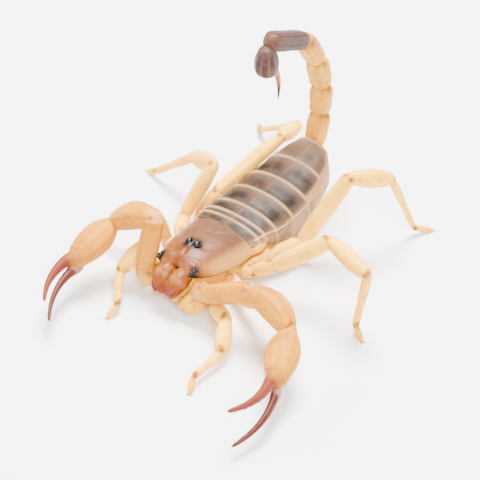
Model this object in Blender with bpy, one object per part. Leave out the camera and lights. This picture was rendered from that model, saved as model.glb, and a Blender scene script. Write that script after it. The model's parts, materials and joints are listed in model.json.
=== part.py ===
"""Desert scorpion: a still, life-size model of a pale desert scorpion, in its named pieces.

Sizes are in millimetres and become metres when a mesh is written. +Z is up. The head looks
along -Y and the animal's left side is +X. The feet stand on the floor at z = 0, and the
origin ends up on the floor below the middle of the model's box.

A limb is a chain of articles. Each article has a length, a heading (degrees round Z, from +X)
and a climb (degrees above the floor), and two pieces that meet are parted by a thin mitre cut.
"""
import bpy
import bmesh
from math import asin, cos, degrees, pi, radians, sin, tan
from mathutils import Quaternion, Vector

MM = 0.001
GAP = 0.3                     # between two pieces that meet
LEFT, RIGHT = 1, -1
SIDE_NAMES = {LEFT: "left", RIGHT: "right"}

# ---- trunk ---------------------------------------------------------------------------------
CARAPACE = (                  # y, half width, level of the side edge, level of the crown
    (-14.6, 3.30, 6.95, 7.75), (-13.8, 3.85, 6.70, 8.10), (-11.8, 4.60, 6.10, 8.55),
    (-9.6, 5.10, 5.60, 8.85), (-7.0, 5.60, 5.25, 8.85), (-4.4, 5.90, 5.05, 8.60),
    (-2.4, 5.90, 5.00, 8.35))
TRUNK = (                     # y, middle, half width, underside, top: the hind part leans left
    (-2.1, 0.0, 5.95, 3.65, 8.25), (0.6, 0.0, 6.30, 3.50, 8.25), (4.2, 0.1, 6.75, 0.80, 8.60),
    (7.2, 0.2, 6.80, 0.65, 8.95), (11.0, 0.3, 6.62, 1.15, 9.40), (15.8, 0.4, 5.75, 2.45, 10.25),
    (19.0, 0.25, 4.70, 4.10, 11.00), (20.8, 0.0, 3.20, 5.70, 11.20))
SEGMENT_ENDS = (-2.1, -0.9, 0.6, 3.1, 7.1, 11.1, 15.8, 20.8)
EDGE_LIP = 0.25               # thickness of the carapace's side edge
PROSOMA_INSET = 0.5           # how far the underside stays inside the carapace's edge
PROSOMA_FLOOR = 1.2           # level of the breastplate
PROSOMA_FRONT = -13.1
JAW_FLOOR = (                 # coxal lobes below the jaws, turned left: y, middle, half width, top
    (-16.3, 3.2, 2.0, 2.5), (-15.7, 2.6, 3.0, 3.1), (-14.5, 1.5, 4.0, 3.6), (-13.3, 0.7, 3.9, 3.8))
PROSOMA_STEP = -2.5           # where the coxae carry on below the first tergites
PROSOMA_REAR = 0.3
STEP_LEVEL = 3.2
STEP_HALF_WIDTH = 3.6

# ---- eyes ----------------------------------------------------------------------------------
MEDIAN_EYE = (0.75, -9.7, 8.95)
MEDIAN_EYE_RADIUS = 0.50
LATERAL_EYES = (3.15, -13.75, 7.55)
LATERAL_EYES_RADIUS = 0.40

# ---- tail: length, climb in the upright middle plane, half width, half height ---------------
TAIL_ROOT = (-0.7, 22.3, 9.2)
TAIL_LENGTHS = (5.6, 5.3, 5.9, 6.75, 10.6)
TAIL_CLIMBS = (75, 88, 106, 123, 155)
TAIL_HALF_WIDTHS = (1.67, 1.66, 1.66, 1.57, 1.50)
TAIL_HEADING = 92
VESICLE_START = (0.0, -0.45, -1.7)  # from the end of the fifth ring
VESICLE_LENGTH, VESICLE_CLIMB = 4.45, 270
VESICLE_SEAT_CLIMB = 57       # of the normal of its oblique top
VESICLE_PROFILE = (           # place, size, shift towards the sting
    (0, 0.72, 0), (0.27, 0.95, 0), (0.48, 1.0, 0), (0.72, 0.93, 0.1), (0.9, 0.68, 0.4), (1, 0.38, 0.7))
VESICLE_HALF_WIDTH, VESICLE_HALF_HEIGHT = 1.75, 2.10
STING_START = (0.3, 2.2, -0.25)     # from the bulb's end
STING_LENGTH, STING_CLIMB, STING_RADIUS, STING_TIP = 5.2, 274, 0.42, 0.12
STING_BOW = 0.4               # how far the sting bows backwards half way down

# ---- pedipalps: femur, patella and hand ------------------------------------------------------
PALP_ROOT = (4.2, -13.5, 4.9)
TROCHANTER_RADIUS = 1.6
PALP_SEAM = GAP * 0.7         # extra room between the ball of the trochanter and the femur
PALP_LENGTHS = (9.0, 9.0, 9.4)
PALP_THICKNESS = (1.6, 2.05)
PATELLA_ARCH = 0.8            # rise of the patella's back between its joints
PALPS = {
    LEFT: {"trochanter": (6.0, -14.8, 5.2), "turns": ((10, 25), (-12, -11), (-66, -12)),
           "fixed": ((-0.45, -0.5, 0.6), 9.7, -92, 5), "movable": ((0.7, -0.75, -1.1), 10.9, -88, -12)},
    RIGHT: {"trochanter": (-5.3, -15.25, 4.35), "turns": ((90, 72), (-177, -28), (-95, -17)),
            "fixed": ((-0.4, -0.3, 0.6), 9.9, -70, -4), "movable": ((0.6, -0.7, -1.0), 11.0, -67, -6)}}
FINGER_BOW = 1.2              # the fingers curve outwards on the way to their tips
FIXED_FINGER_BASE, MOVABLE_FINGER_BASE = 0.98, 0.78
FINGER_TIP = 0.27

# ---- legs ------------------------------------------------------------------------------------
LEG_LENGTHS = {               # trochanter, femur, patella, shank, foot
    1: (2.8, 5.0, 5.9, 6.1, 2.6), 2: (3.2, 7.5, 7.0, 7.4, 2.6),
    3: (4.4, 10.1, 9.7, 10.7, 2.8), 4: (5.4, 14.0, 8.6, 11.7, 3.6)}
COXA_ROOTS = {1: (4.72, -10.72, 2.7), 2: (5.55, -7.6, 3.1), 3: (5.85, -4.5, 3.1), 4: (4.3, -1.3, 2.4)}
HIPS = {1: (5.7, -11.1, 3.1), 2: (6.6, -7.6, 3.5), 3: (7.7, -4.0, 3.7), 4: (7.6, 1.0, 4.1)}
LEG_TURNS = {                 # heading and climb of three articles, then headings of shank and foot
    (LEFT, 1): ((-60, -18), (-29, 14), (-60, -16), -92, -66),
    (LEFT, 2): ((-38, -19), (-22, 33), (-2, -26), -78, -48),
    (LEFT, 3): ((2, 38), (31, 34), (-19, 0), 180, -30),
    (LEFT, 4): ((77, -6), (45, 59), (68, -22), 58, 55),
    (RIGHT, 1): ((170, -11), (-58, 65), (-111, -38), -54, -95),
    (RIGHT, 2): ((141, -12), (-84, 68), (-180, -26), -150, -113),
    (RIGHT, 3): ((118, 3), (59, 60), (152, -27), 178, 169),
    (RIGHT, 4): ((98, 15), (75, 22), (106, -20), 166, 133)}
LEG_THICKNESS = {1: 1.0, 2: 0.95, 3: 1.02, 4: 1.0}
ANKLE_LEVEL, TOE_LEVEL = 1.5, 0.12
COXA_RADIUS = 1.05
SHARP_BEND = radians(75)      # a bend from here on goes round in a fan of rings
FAN_RADIUS = 1.1              # of the fan's centre line, in half thicknesses of the limb

# ---- colours: base colour and roughness --------------------------------------------------------
CREAM, PEACH, AMBER = (0.92, 0.70, 0.40), (0.86, 0.55, 0.27), (0.66, 0.36, 0.18)
SMOKE, MAUVE, RUST, BLACK = (0.36, 0.27, 0.22), (0.27, 0.18, 0.15), (0.47, 0.13, 0.08), (0.01, 0.01, 0.01)
GLOSSY, WAXY = 0.3, 0.45


def clear_scene():
    for old in list(bpy.data.objects):
        bpy.data.objects.remove(old, do_unlink=True)


def material(name, colour, roughness):
    """A plain Principled finish, one for each piece."""
    finish = bpy.data.materials.new(name + "_finish")
    finish.use_nodes = True
    shader = finish.node_tree.nodes["Principled BSDF"]
    shader.inputs["Base Color"].default_value = (*colour, 1.0)
    shader.inputs["Roughness"].default_value = roughness
    return finish


def add_piece(name, bm, colour, roughness=WAXY):
    """Turns a bmesh in millimetres into a named object in metres, faces outwards."""
    bmesh.ops.recalc_face_normals(bm, faces=bm.faces)
    bmesh.ops.scale(bm, vec=(MM, MM, MM), verts=bm.verts)
    mesh = bpy.data.meshes.new(name)
    bm.to_mesh(mesh)
    bm.free()
    mesh.materials.append(material(name, colour, roughness))
    mesh.shade_smooth()
    mesh.set_sharp_from_angle(angle=radians(40))
    piece = bpy.data.objects.new(name, mesh)
    bpy.context.collection.objects.link(piece)
    return piece


# %% Rings and lofts -------------------------------------------------------------------------
def ring(centre, side, up, half_width, half_height, sides=10, power=2.0):
    """Points round a (super)ellipse across a limb."""
    points = []
    for k in range(sides):
        angle = 2 * pi * (k + 0.5) / sides
        c, s = cos(angle), sin(angle)
        x = abs(c) ** (2 / power) * (1 if c > 0 else -1)
        y = abs(s) ** (2 / power) * (1 if s > 0 else -1)
        points.append(centre + side * half_width * x + up * half_height * y)
    return points


def slide_to_plane(points, along, point, normal):
    """Moves a ring along the limb until it lies in a cutting plane."""
    return [p + along * ((point - p).dot(normal) / along.dot(normal)) for p in points]


def loft(rings):
    """Skins a list of rings and closes both ends."""
    bm = bmesh.new()
    loops = [[bm.verts.new(p) for p in points] for points in rings]
    for first, second in zip(loops, loops[1:]):
        for k in range(len(first)):
            j = (k + 1) % len(first)
            bm.faces.new((first[k], first[j], second[j], second[k]))
    bm.faces.new(loops[0])
    bm.faces.new(reversed(loops[-1]))
    return bm


def between(table, y):
    """Reads a table of stations at y, by straight lines."""
    for low, high in zip(table, table[1:]):
        if y <= high[0]:
            break
    t = min(max((y - low[0]) / (high[0] - low[0]), 0.0), 1.0)
    return [a + (b - a) * t for a, b in zip(low[1:], high[1:])]


# %% Limbs -----------------------------------------------------------------------------------
def direction(heading, climb):
    h, c = radians(heading), radians(climb)
    return Vector((cos(c) * cos(h), cos(c) * sin(h), sin(c)))


def climb_to(level, start_level, length):
    """The climb that brings an article of this length to a level."""
    return degrees(asin((level - start_level) / length))


class Chain:
    """The joints of a limb, with a frame for each article that turns with the bends."""

    def __init__(self, root, first_side):
        self.joints = [Vector(root)]
        self.dirs, self.sides = [], []
        self.first_side = Vector(first_side)

    def add(self, length, heading, climb):
        along = direction(heading, climb)
        if self.dirs:
            side = self.dirs[-1].rotation_difference(along) @ self.sides[-1]
        else:
            side = self.first_side - along * self.first_side.dot(along)
        self.dirs.append(along)
        self.sides.append(side.normalized())
        self.joints.append(self.joints[-1] + along * length)

    def mitre(self, joint):
        """Normal of the cutting plane at a joint: it halves the bend."""
        if joint == 0:
            return self.dirs[0]
        if joint == len(self.dirs):
            return self.dirs[-1]
        return (self.dirs[joint - 1] + self.dirs[joint]).normalized()


def reach(chain, joint, radius):
    """How far a mitre cut reaches along an article of this radius."""
    cosine = min(chain.mitre(joint).dot(chain.dirs[min(joint, len(chain.dirs) - 1)]), 1.0)
    return radius * FAN_RADIUS * (1 - cosine ** 2) ** 0.5 / cosine


def bend_rings(chain, joint, half_width, half_height, sides, power):
    """Carries one piece round a joint: a single ring, or a fan of rings where it folds."""
    before, after, side = chain.dirs[joint - 1], chain.dirs[joint], chain.sides[joint - 1]
    turn = before.angle(after)
    shares, radius = (0.5,), 0.0
    if turn > SHARP_BEND:
        shares, radius = (0.0, 0.25, 0.5, 0.75, 1.0), max(half_width, half_height) * FAN_RADIUS
    pivot = chain.joints[joint] + (after - before).normalized() * radius / cos(turn / 2)
    spoke = chain.joints[joint] - before * radius * tan(turn / 2) - pivot
    rings = []
    for share in shares:
        swing = Quaternion(before.cross(after), turn * share)
        across, along = swing @ side, swing @ before
        rings.append(ring(pivot + swing @ spoke, across, along.cross(across), half_width, half_height,
                          sides, power))
    return rings


def article_rings(chain, index, profile, sides, power, ends, arch):
    """Rings of one article. profile holds (place 0..1, half width, half height); ends says
    for each end whether it is cut by its mitre plane, with half a gap, or bends on."""
    start, stop = chain.joints[index], chain.joints[index + 1]
    along, side = chain.dirs[index], chain.sides[index]
    up = side.cross(along) * -1
    length = (stop - start).length
    low = reach(chain, index, profile[0][2]) + GAP
    high = length - reach(chain, index + 1, profile[-1][2]) - GAP
    rings = []
    for number, (place, half_width, half_height) in enumerate(profile):
        first, last = number == 0, number == len(profile) - 1
        if first and ends[0] == "bend":
            continue
        if last and ends[1] == "bend":
            rings += bend_rings(chain, index + 1, half_width, half_height, sides, power)
            continue
        if not (first or last) and high - low < GAP:
            continue
        centre = start + along * (low + (high - low) * place) + arch * 4 * place * (1 - place)
        points = ring(centre, side, up, half_width, half_height, sides, power)
        if first:
            normal = chain.mitre(index)
            points = slide_to_plane(points, along, start + along * (GAP / 2), normal)
        if last:
            normal = chain.mitre(index + 1)
            points = slide_to_plane(points, along, stop - along * (GAP / 2), normal)
        rings.append(points)
    return rings


def limb_piece(name, chain, profiles, colour, sides=10, power=2.2, arch=Vector((0, 0, 0))):
    """One piece over one or more articles: profiles maps an article's index to its profile."""
    rings = []
    numbers = sorted(profiles)
    for number in numbers:
        ends = ("cut" if number == numbers[0] else "bend", "cut" if number == numbers[-1] else "bend")
        rings += article_rings(chain, number, profiles[number], sides, power, ends, arch)
    return add_piece(name, loft(rings), colour)


def spindle(thick, start, middle, end, flat=1.0):
    """A profile that swells between its two joints."""
    places = ((0.0, start), (0.25, (start + middle * 2) / 3), (0.55, middle), (0.85, (middle + end) / 2),
              (1.0, end))
    return [(place, thick * size * flat, thick * size) for place, size in places]


# %% Body ------------------------------------------------------------------------------------
def carapace():
    """The shield over the front of the body: a crowned plate with a flat underside."""
    rings = []
    dome, flat = 14, 4
    for y, half_width, edge, crown in CARAPACE:
        points = []
        for k in range(dome + 1):
            angle = pi * k / dome
            x = half_width * cos(angle)
            z = edge + (crown - edge) * sin(angle) ** 0.85
            points.append(Vector((x, y, z)))
        for k in range(1, flat):
            points.append(Vector((half_width * (2 * k / flat - 1), y, edge - EDGE_LIP)))
        rings.append(points)
    shield = add_piece("carapace", loft(rings), AMBER, GLOSSY)
    for side in (LEFT, RIGHT):
        for place, radius in ((MEDIAN_EYE, MEDIAN_EYE_RADIUS), (LATERAL_EYES, LATERAL_EYES_RADIUS)):
            socket = ball(Vector(place), radius + GAP, 12, 8, side)
            cut_away(shield, socket)
    return shield


def ball(centre, radius, around=12, rings=8, side=LEFT):
    """A sphere mesh, in millimetres, on one side of the animal."""
    bm = bmesh.new()
    bmesh.ops.create_uvsphere(bm, u_segments=around, v_segments=rings, radius=radius)
    bmesh.ops.translate(bm, vec=(centre.x * side, centre.y, centre.z), verts=bm.verts)
    return bm


def cut_away(piece, cutter_bm):
    """Cuts a socket with a Boolean, applied at once."""
    bmesh.ops.scale(cutter_bm, vec=(MM, MM, MM), verts=cutter_bm.verts)
    mesh = bpy.data.meshes.new("socket_cutter")
    cutter_bm.to_mesh(mesh)
    cutter_bm.free()
    cutter = bpy.data.objects.new("socket_cutter", mesh)
    bpy.context.collection.objects.link(cutter)
    cut = piece.modifiers.new("socket", "BOOLEAN")
    cut.operation, cut.object, cut.solver = "DIFFERENCE", cutter, "EXACT"
    graph = bpy.context.evaluated_depsgraph_get()
    result = bpy.data.meshes.new_from_object(piece.evaluated_get(graph))
    piece.modifiers.remove(cut)
    piece.data = result
    bpy.data.objects.remove(cutter, do_unlink=True)


def eyes():
    for side, word in SIDE_NAMES.items():
        add_piece(f"eye_median_{word}", ball(Vector(MEDIAN_EYE), MEDIAN_EYE_RADIUS, 10, 6, side), BLACK, 0.1)
        add_piece(f"eyes_lateral_{word}", ball(Vector(LATERAL_EYES), LATERAL_EYES_RADIUS, 10, 6, side),
                  BLACK, 0.1)


def prosoma_underside():
    """Breastplate and the rooted coxae, as one block below the carapace."""
    rings = list(JAW_FLOOR)
    for y in (PROSOMA_FRONT, -11.8, -9.6, -7.0, -4.4, PROSOMA_STEP):
        half_width, edge, _ = between(CARAPACE, y)
        rings.append((y, 0, half_width - PROSOMA_INSET, edge - EDGE_LIP - GAP))
    rings.append((PROSOMA_STEP + 0.1, 0, STEP_HALF_WIDTH, STEP_LEVEL))
    rings.append((PROSOMA_REAR, 0, STEP_HALF_WIDTH * 0.8, STEP_LEVEL))
    loops = []
    for y, centre, half_width, top in rings:
        middle, half = (top + PROSOMA_FLOOR) / 2, (top - PROSOMA_FLOOR) / 2
        loops.append(ring(Vector((centre, y, middle)), Vector((1, 0, 0)), Vector((0, 0, 1)),
                          half_width, half, 16, 3.2))
    return add_piece("coxae_and_sternum", loft(loops), CREAM)


def mesosoma():
    """Seven body rings, each with its tergite above and its sternite below."""
    for number, (start, stop) in enumerate(zip(SEGMENT_ENDS, SEGMENT_ENDS[1:]), 1):
        first, last = start + GAP / 2, stop - GAP / 2
        loops = []
        for t in (0.0, 0.5, 1.0):
            y = first + (last - first) * t
            centre, half_width, low, high = between(TRUNK, y)
            swell = 0.975 + 0.025 * t
            middle, half = (low + high) / 2, (high - low) / 2
            loops.append(ring(Vector((centre, y, middle)), Vector((1, 0, 0)), Vector((0, 0, 1)),
                              half_width * swell, half * swell, 24, 2.15))
        add_piece(f"mesosoma_{number}", loft(loops), SMOKE, GLOSSY)


def pectine(side):
    """A comb below the belly, just behind the last coxae: a shaft with a row of teeth."""
    teeth, root, tip = 9, Vector((1.0, 1.5)), Vector((5.6, 3.2))
    shaft, tooth, low, high = 0.75, 0.7, 0.55, 1.15
    along = (tip - root).normalized()
    back = Vector((-along.y, along.x))
    pitch = (tip - root).length / teeth
    outline = [root - back * shaft, tip - back * shaft * 0.5, tip]
    for k in reversed(range(teeth)):
        start = root + along * pitch * k
        depth = back * tooth * (1 - 0.05 * k)
        outline += [start + along * pitch * 0.8 + depth, start + along * pitch * 0.3 + depth, start]
    bm = bmesh.new()
    face = bm.faces.new([bm.verts.new((p.x * side, p.y, low)) for p in outline])
    grown = bmesh.ops.extrude_face_region(bm, geom=[face])
    top = [v for v in grown["geom"] if isinstance(v, bmesh.types.BMVert)]
    bmesh.ops.translate(bm, vec=(0, 0, high - low), verts=top)
    return add_piece(f"pectine_{SIDE_NAMES[side]}", bm, CREAM)


def chelicera(side):
    """A short jaw below the carapace's front edge, with a fixed and a movable finger."""
    word = SIDE_NAMES[side]
    up, across = Vector((0, 0, 1)), Vector((1, 0, 0))
    stations = (((1.55, -13.45, 5.1), 1.05), ((1.58, -14.3, 5.2), 1.15), ((1.6, -15.4, 5.7), 1.35),
                ((1.5, -16.2, 5.6), 1.2), ((1.35, -16.75, 5.3), 0.9), ((0.95, -17.05, 4.85), 0.42),
                ((0.62, -17.6, 4.1), 0.2))
    loops = [ring(Vector((x * side, y, z)), across, up, r, r * 0.95, 10) for (x, y, z), r in stations]
    add_piece(f"chelicera_{word}", loft(loops), AMBER)
    finger = (((2.05, -17.1, 5.1), 0.34), ((1.9, -17.5, 4.7), 0.38), ((1.45, -17.85, 4.1), 0.2))
    loops = [ring(Vector((x * side, y, z)), across, up, r, r, 8) for (x, y, z), r in finger]
    add_piece(f"chelicera_finger_{word}", loft(loops), RUST)


# %% Tail ------------------------------------------------------------------------------------
def tail():
    """Five rings that arch over the back, the poison bulb and the sting."""
    chain = Chain(TAIL_ROOT, (1, 0, 0))
    for length, climb in zip(TAIL_LENGTHS, TAIL_CLIMBS):
        chain.add(length, TAIL_HEADING, climb)
    for number, size in enumerate(TAIL_HALF_WIDTHS, 1):
        profile = [(place, size * scale, size * scale * 0.95)
                   for place, scale in ((0, 0.82), (0.15, 0.95), (0.6, 1.0), (0.85, 1.0), (1, 0.84))]
        colour = PEACH if number < 5 else MAUVE
        limb_piece(f"tail_{number}", chain, {number - 1: profile}, colour, 12, 2.8)
    poison_bulb(chain.joints[-1] + Vector(VESICLE_START))


def poison_bulb(start):
    """An egg with an oblique top that fits below the end of the fifth ring."""
    along = direction(TAIL_HEADING, VESICLE_CLIMB)
    across = Vector((1, 0, 0))
    back = across.cross(along)
    loops = [ring(start + along * VESICLE_LENGTH * place + back * shift, across, back,
                  VESICLE_HALF_WIDTH * size, VESICLE_HALF_HEIGHT * size, 12)
             for place, size, shift in VESICLE_PROFILE]
    loops[0] = slide_to_plane(loops[0], along, start, direction(TAIL_HEADING, VESICLE_SEAT_CLIMB))
    add_piece("vesicle", loft(loops), MAUVE)
    sting(start + along * VESICLE_LENGTH + Vector(STING_START))


def sting(start):
    """A thorn that leaves the bulb's hind corner and hooks down."""
    along = direction(TAIL_HEADING, STING_CLIMB)
    across = Vector((1, 0, 0))
    back = across.cross(along)
    loops = []
    for t in (0.0, 0.25, 0.5, 0.75, 1.0):
        centre = start + along * STING_LENGTH * t + back * 4 * STING_BOW * t * (1 - t)
        radius = STING_RADIUS * (1 - t) + STING_TIP * t
        loops.append(ring(centre, across, back, radius, radius, 8))
    add_piece("sting", loft(loops), BLACK, GLOSSY)


# %% Pedipalps -------------------------------------------------------------------------------
def level_frame(along):
    """A level direction across an article, and the upward one square to both."""
    across = Vector((along.y, -along.x, 0)).normalized()
    return across, across.cross(along)


def finger_rings(hand_end, size, pose, side, sides):
    """A long curved finger that thins to its tip."""
    offset, length, heading, climb = pose
    base = hand_end + Vector(offset)
    bow = Vector((side, 0, 0))
    along = direction(heading, climb)
    across, up = level_frame(along)
    rings = []
    for t in (0.0, 0.2, 0.45, 0.7, 0.88, 1.0):
        centre = base + along * length * t + bow * 4 * FINGER_BOW * t * (1 - t)
        radius = size + (FINGER_TIP - size) * t ** 0.8
        rings.append(ring(centre, across, up, radius, radius, sides))
    return rings


def pedipalp(side):
    word, pose = SIDE_NAMES[side], PALPS[side]
    start = Vector(pose["trochanter"])
    trochanter(word, Vector((PALP_ROOT[0] * side, *PALP_ROOT[1:])), start)
    chain = Chain(start, (side, 0.3, 0))
    for length, (heading, climb) in zip(PALP_LENGTHS, pose["turns"]):
        chain.add(length, heading, climb)
    chain.joints[0] = start + chain.dirs[0] * (TROCHANTER_RADIUS + PALP_SEAM)
    arch = Vector((0.3 * side, 0.8, 0.5)).normalized() * PATELLA_ARCH
    femur, patella = PALP_THICKNESS
    limb_piece(f"pedipalp_{word}_femur", chain, {0: spindle(femur, 0.68, 1.0, 0.9)}, PEACH)
    limb_piece(f"pedipalp_{word}_patella", chain, {1: spindle(patella, 0.72, 1.0, 0.68)}, PEACH, arch=arch)
    hand(side, chain, pose)


def trochanter(word, root, centre):
    """The rounded first piece of a pedipalp, from the body's front corner."""
    along = (centre - root).normalized()
    across, up = level_frame(along)
    r = TROCHANTER_RADIUS
    stations = [(root, r * 0.55), (root.lerp(centre, 0.5), r * 0.9), (centre, r)]
    stations += [(centre + along * r * sin(a), r * cos(a)) for a in (radians(35), radians(65))]
    loops = [ring(place, across, up, size, size, 12) for place, size in stations]
    add_piece(f"pedipalp_{word}_trochanter", loft(loops), PEACH)


def hand(side, chain, pose):
    """The swollen hand with its fixed finger, and the movable finger below it."""
    word = SIDE_NAMES[side]
    start, stop, along = chain.joints[2], chain.joints[3], chain.dirs[2]
    across, up = level_frame(along)
    shape = ((0.0, 1.15, 1.15), (0.1, 1.45, 1.4), (0.28, 2.25, 2.05), (0.5, 2.5, 2.25),
             (0.7, 2.25, 2.05), (0.84, 1.85, 1.75), (0.93, 1.5, 1.4))
    rings = []
    for t, half_width, half_height in shape:
        centre = start + along * (GAP + (stop - start).length * t)
        rings.append(ring(centre, across, up, half_width, half_height, 12, 2.2))
    rings[0] = slide_to_plane(rings[0], along, start + along * (GAP / 2), chain.mitre(2))
    fixed = finger_rings(stop, FIXED_FINGER_BASE, pose["fixed"], side, 12)
    add_piece(f"pedipalp_{word}_hand", loft(rings + fixed), PEACH)
    movable = finger_rings(stop, MOVABLE_FINGER_BASE, pose["movable"], side, 8)
    add_piece(f"pedipalp_{word}_movable_finger", loft(movable), RUST)


# %% Legs ------------------------------------------------------------------------------------
def leg(side, number):
    name = f"leg_{SIDE_NAMES[side]}_{number}"
    turns, lengths = LEG_TURNS[(side, number)], LEG_LENGTHS[number]
    root, hip = [Vector((x * side, y, z)) for x, y, z in (COXA_ROOTS[number], HIPS[number])]
    chain = Chain(root, (0, 1, 0))
    chain.joints.append(hip)
    chain.dirs.append((hip - root).normalized())
    chain.sides.append((Vector((0, 1, 0)) - chain.dirs[0] * chain.dirs[0].y).normalized())
    for length, (heading, climb) in zip(lengths[:3], turns[:3]):
        chain.add(length, heading, climb)
    for length, heading, level in zip(lengths[3:], turns[3:], (ANKLE_LEVEL, TOE_LEVEL)):
        chain.add(length, heading, climb_to(level, chain.joints[-1].z, length))
    thick = LEG_THICKNESS[number]
    coxa = [(0, COXA_RADIUS * thick, COXA_RADIUS * thick), (1, COXA_RADIUS * thick, COXA_RADIUS * thick)]
    trochanter = [(0, 1, 1), (0.5, 1.1 * thick, 1.15 * thick), (1, 0.9 * thick, 1.0 * thick)]
    femur = spindle(1.38 * thick, 0.78, 1.0, 0.75, 0.88)
    limb_piece(name + "_upper", chain, {0: coxa, 1: trochanter, 2: femur}, CREAM)
    patella = spindle(1.42 * thick, 0.62, 1.0, 0.6, 0.9)
    limb_piece(name + "_patella", chain, {3: patella}, CREAM)
    shank = [(0, 0.72, 0.78), (0.2, 0.8, 0.86), (0.5, 0.62, 0.7), (0.56, 0.5, 0.55), (0.62, 0.6, 0.66),
             (0.95, 0.52, 0.56), (1, 0.5, 0.5)]
    foot = [(0, 0.5, 0.5), (0.3, 0.52, 0.52), (0.8, 0.45, 0.48), (1, 0.28, 0.3)]
    shank = [(t, w * thick, h * thick) for t, w, h in shank]
    foot = [(t, w * thick, h * thick) for t, w, h in foot]
    piece = limb_piece(name + "_lower", chain, {4: shank, 5: foot}, CREAM, 8, 2.0)
    for vertex in piece.data.vertices:
        vertex.co.z = max(vertex.co.z, 0.0)


# %% The whole animal ------------------------------------------------------------------------
def centre_on_floor():
    """Moves every mesh so that the origin is on the floor below the middle of the box."""
    meshes = [piece.data for piece in bpy.data.objects if piece.type == "MESH"]
    corners = [v.co for mesh in meshes for v in mesh.vertices]
    shift = Vector([(min(c[i] for c in corners) + max(c[i] for c in corners)) / 2 for i in range(3)])
    shift.z = min(c.z for c in corners)
    for mesh in meshes:
        for vertex in mesh.vertices:
            vertex.co -= shift


def main():
    clear_scene()
    carapace()
    eyes()
    prosoma_underside()
    mesosoma()
    tail()
    for side in (LEFT, RIGHT):
        pectine(side)
        chelicera(side)
        pedipalp(side)
        for number in (1, 2, 3, 4):
            leg(side, number)
    centre_on_floor()


main()
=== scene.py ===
# %% [markdown]
# # A desert scorpion, life size
# The real animal is about 9 cm long when it is stretched out. Its body is a set of hard shell
# pieces joined by thin soft skin: a shield over the head part, seven rings with a back plate and
# a belly plate each, a tail of five ridged rings with a poison bulb and a sting, two pincers, two
# short jaws and eight legs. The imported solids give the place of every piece. This script lays a
# finer shell over each of them, in the same place, and gives it colour, gloss and hairs.

# %% Load the frame
import json
from math import asin, cos, degrees, pi, radians, sin, sqrt
import bpy
import numpy as np
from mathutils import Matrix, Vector

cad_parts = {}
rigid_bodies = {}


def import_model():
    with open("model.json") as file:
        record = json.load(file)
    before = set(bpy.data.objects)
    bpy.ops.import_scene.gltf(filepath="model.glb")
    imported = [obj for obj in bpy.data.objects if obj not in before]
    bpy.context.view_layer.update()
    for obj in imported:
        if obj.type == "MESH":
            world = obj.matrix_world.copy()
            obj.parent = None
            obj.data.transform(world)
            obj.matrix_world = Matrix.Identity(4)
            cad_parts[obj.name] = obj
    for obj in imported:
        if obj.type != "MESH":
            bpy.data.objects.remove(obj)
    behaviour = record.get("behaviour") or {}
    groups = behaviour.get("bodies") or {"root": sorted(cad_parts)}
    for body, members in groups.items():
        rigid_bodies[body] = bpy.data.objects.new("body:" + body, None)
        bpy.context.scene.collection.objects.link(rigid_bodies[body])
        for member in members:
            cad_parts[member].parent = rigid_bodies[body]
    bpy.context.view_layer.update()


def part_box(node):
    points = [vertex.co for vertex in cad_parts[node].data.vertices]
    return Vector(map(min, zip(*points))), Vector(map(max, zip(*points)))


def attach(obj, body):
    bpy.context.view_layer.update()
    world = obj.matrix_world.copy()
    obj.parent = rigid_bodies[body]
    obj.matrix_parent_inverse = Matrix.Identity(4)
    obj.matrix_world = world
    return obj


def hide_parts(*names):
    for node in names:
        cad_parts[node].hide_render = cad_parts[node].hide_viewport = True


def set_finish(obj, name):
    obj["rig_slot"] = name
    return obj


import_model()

# %% [markdown]
# The sizes below are the animal's own, in millimetres, the same that the solids are made from.
# Lengths and angles are measured from the middle of the body: the head looks along -Y, the left
# side is +X. A limb is a chain of articles, each with a length, a heading and a climb.

# %% Sizes of the body
MM = 0.001
LEFT, RIGHT = 1, -1
SIDE_NAMES = {LEFT: "left", RIGHT: "right"}
CARAPACE = (                  # y, half width, level of the side edge, level of the crown
    (-14.6, 3.30, 6.95, 7.75), (-13.8, 3.85, 6.70, 8.10), (-11.8, 4.60, 6.10, 8.55),
    (-9.6, 5.10, 5.60, 8.85), (-7.0, 5.60, 5.25, 8.85), (-4.4, 5.90, 5.05, 8.60),
    (-2.4, 5.90, 5.00, 8.35))
TRUNK = (                     # y, middle, half width, underside, top
    (-2.1, 0.0, 5.95, 3.65, 8.25), (0.6, 0.0, 6.30, 3.50, 8.25), (4.2, 0.1, 6.75, 0.80, 8.60),
    (7.2, 0.2, 6.80, 0.65, 8.95), (11.0, 0.3, 6.62, 1.15, 9.40), (15.8, 0.4, 5.75, 2.45, 10.25),
    (19.0, 0.25, 4.70, 4.10, 11.00), (20.8, 0.0, 3.20, 5.70, 11.20))
SEGMENT_ENDS = (-2.1, -0.9, 0.6, 3.1, 7.1, 11.1, 15.8, 20.8)
MEDIAN_EYE, MEDIAN_EYE_RADIUS = (0.75, -9.7, 8.95), 0.50
LATERAL_EYES = (3.15, -13.75, 7.55)
PROSOMA_FLOOR = 1.2

# %% Sizes of the tail
TAIL_ROOT, TAIL_HEADING = (-0.7, 22.3, 9.2), 92
TAIL_LENGTHS = (5.6, 5.3, 5.9, 6.75, 10.6)
TAIL_CLIMBS = (75, 88, 106, 123, 155)
TAIL_HALF_WIDTHS = (1.67, 1.66, 1.66, 1.57, 1.50)
VESICLE_START = (0.0, -0.45, -1.7)
VESICLE_LENGTH, VESICLE_CLIMB = 4.45, 270
VESICLE_HALF_WIDTH, VESICLE_HALF_HEIGHT = 1.75, 2.10
STING_START = (0.3, 2.2, -0.25)
STING_LENGTH, STING_CLIMB, STING_RADIUS, STING_BOW = 5.2, 274, 0.42, 0.4

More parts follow.
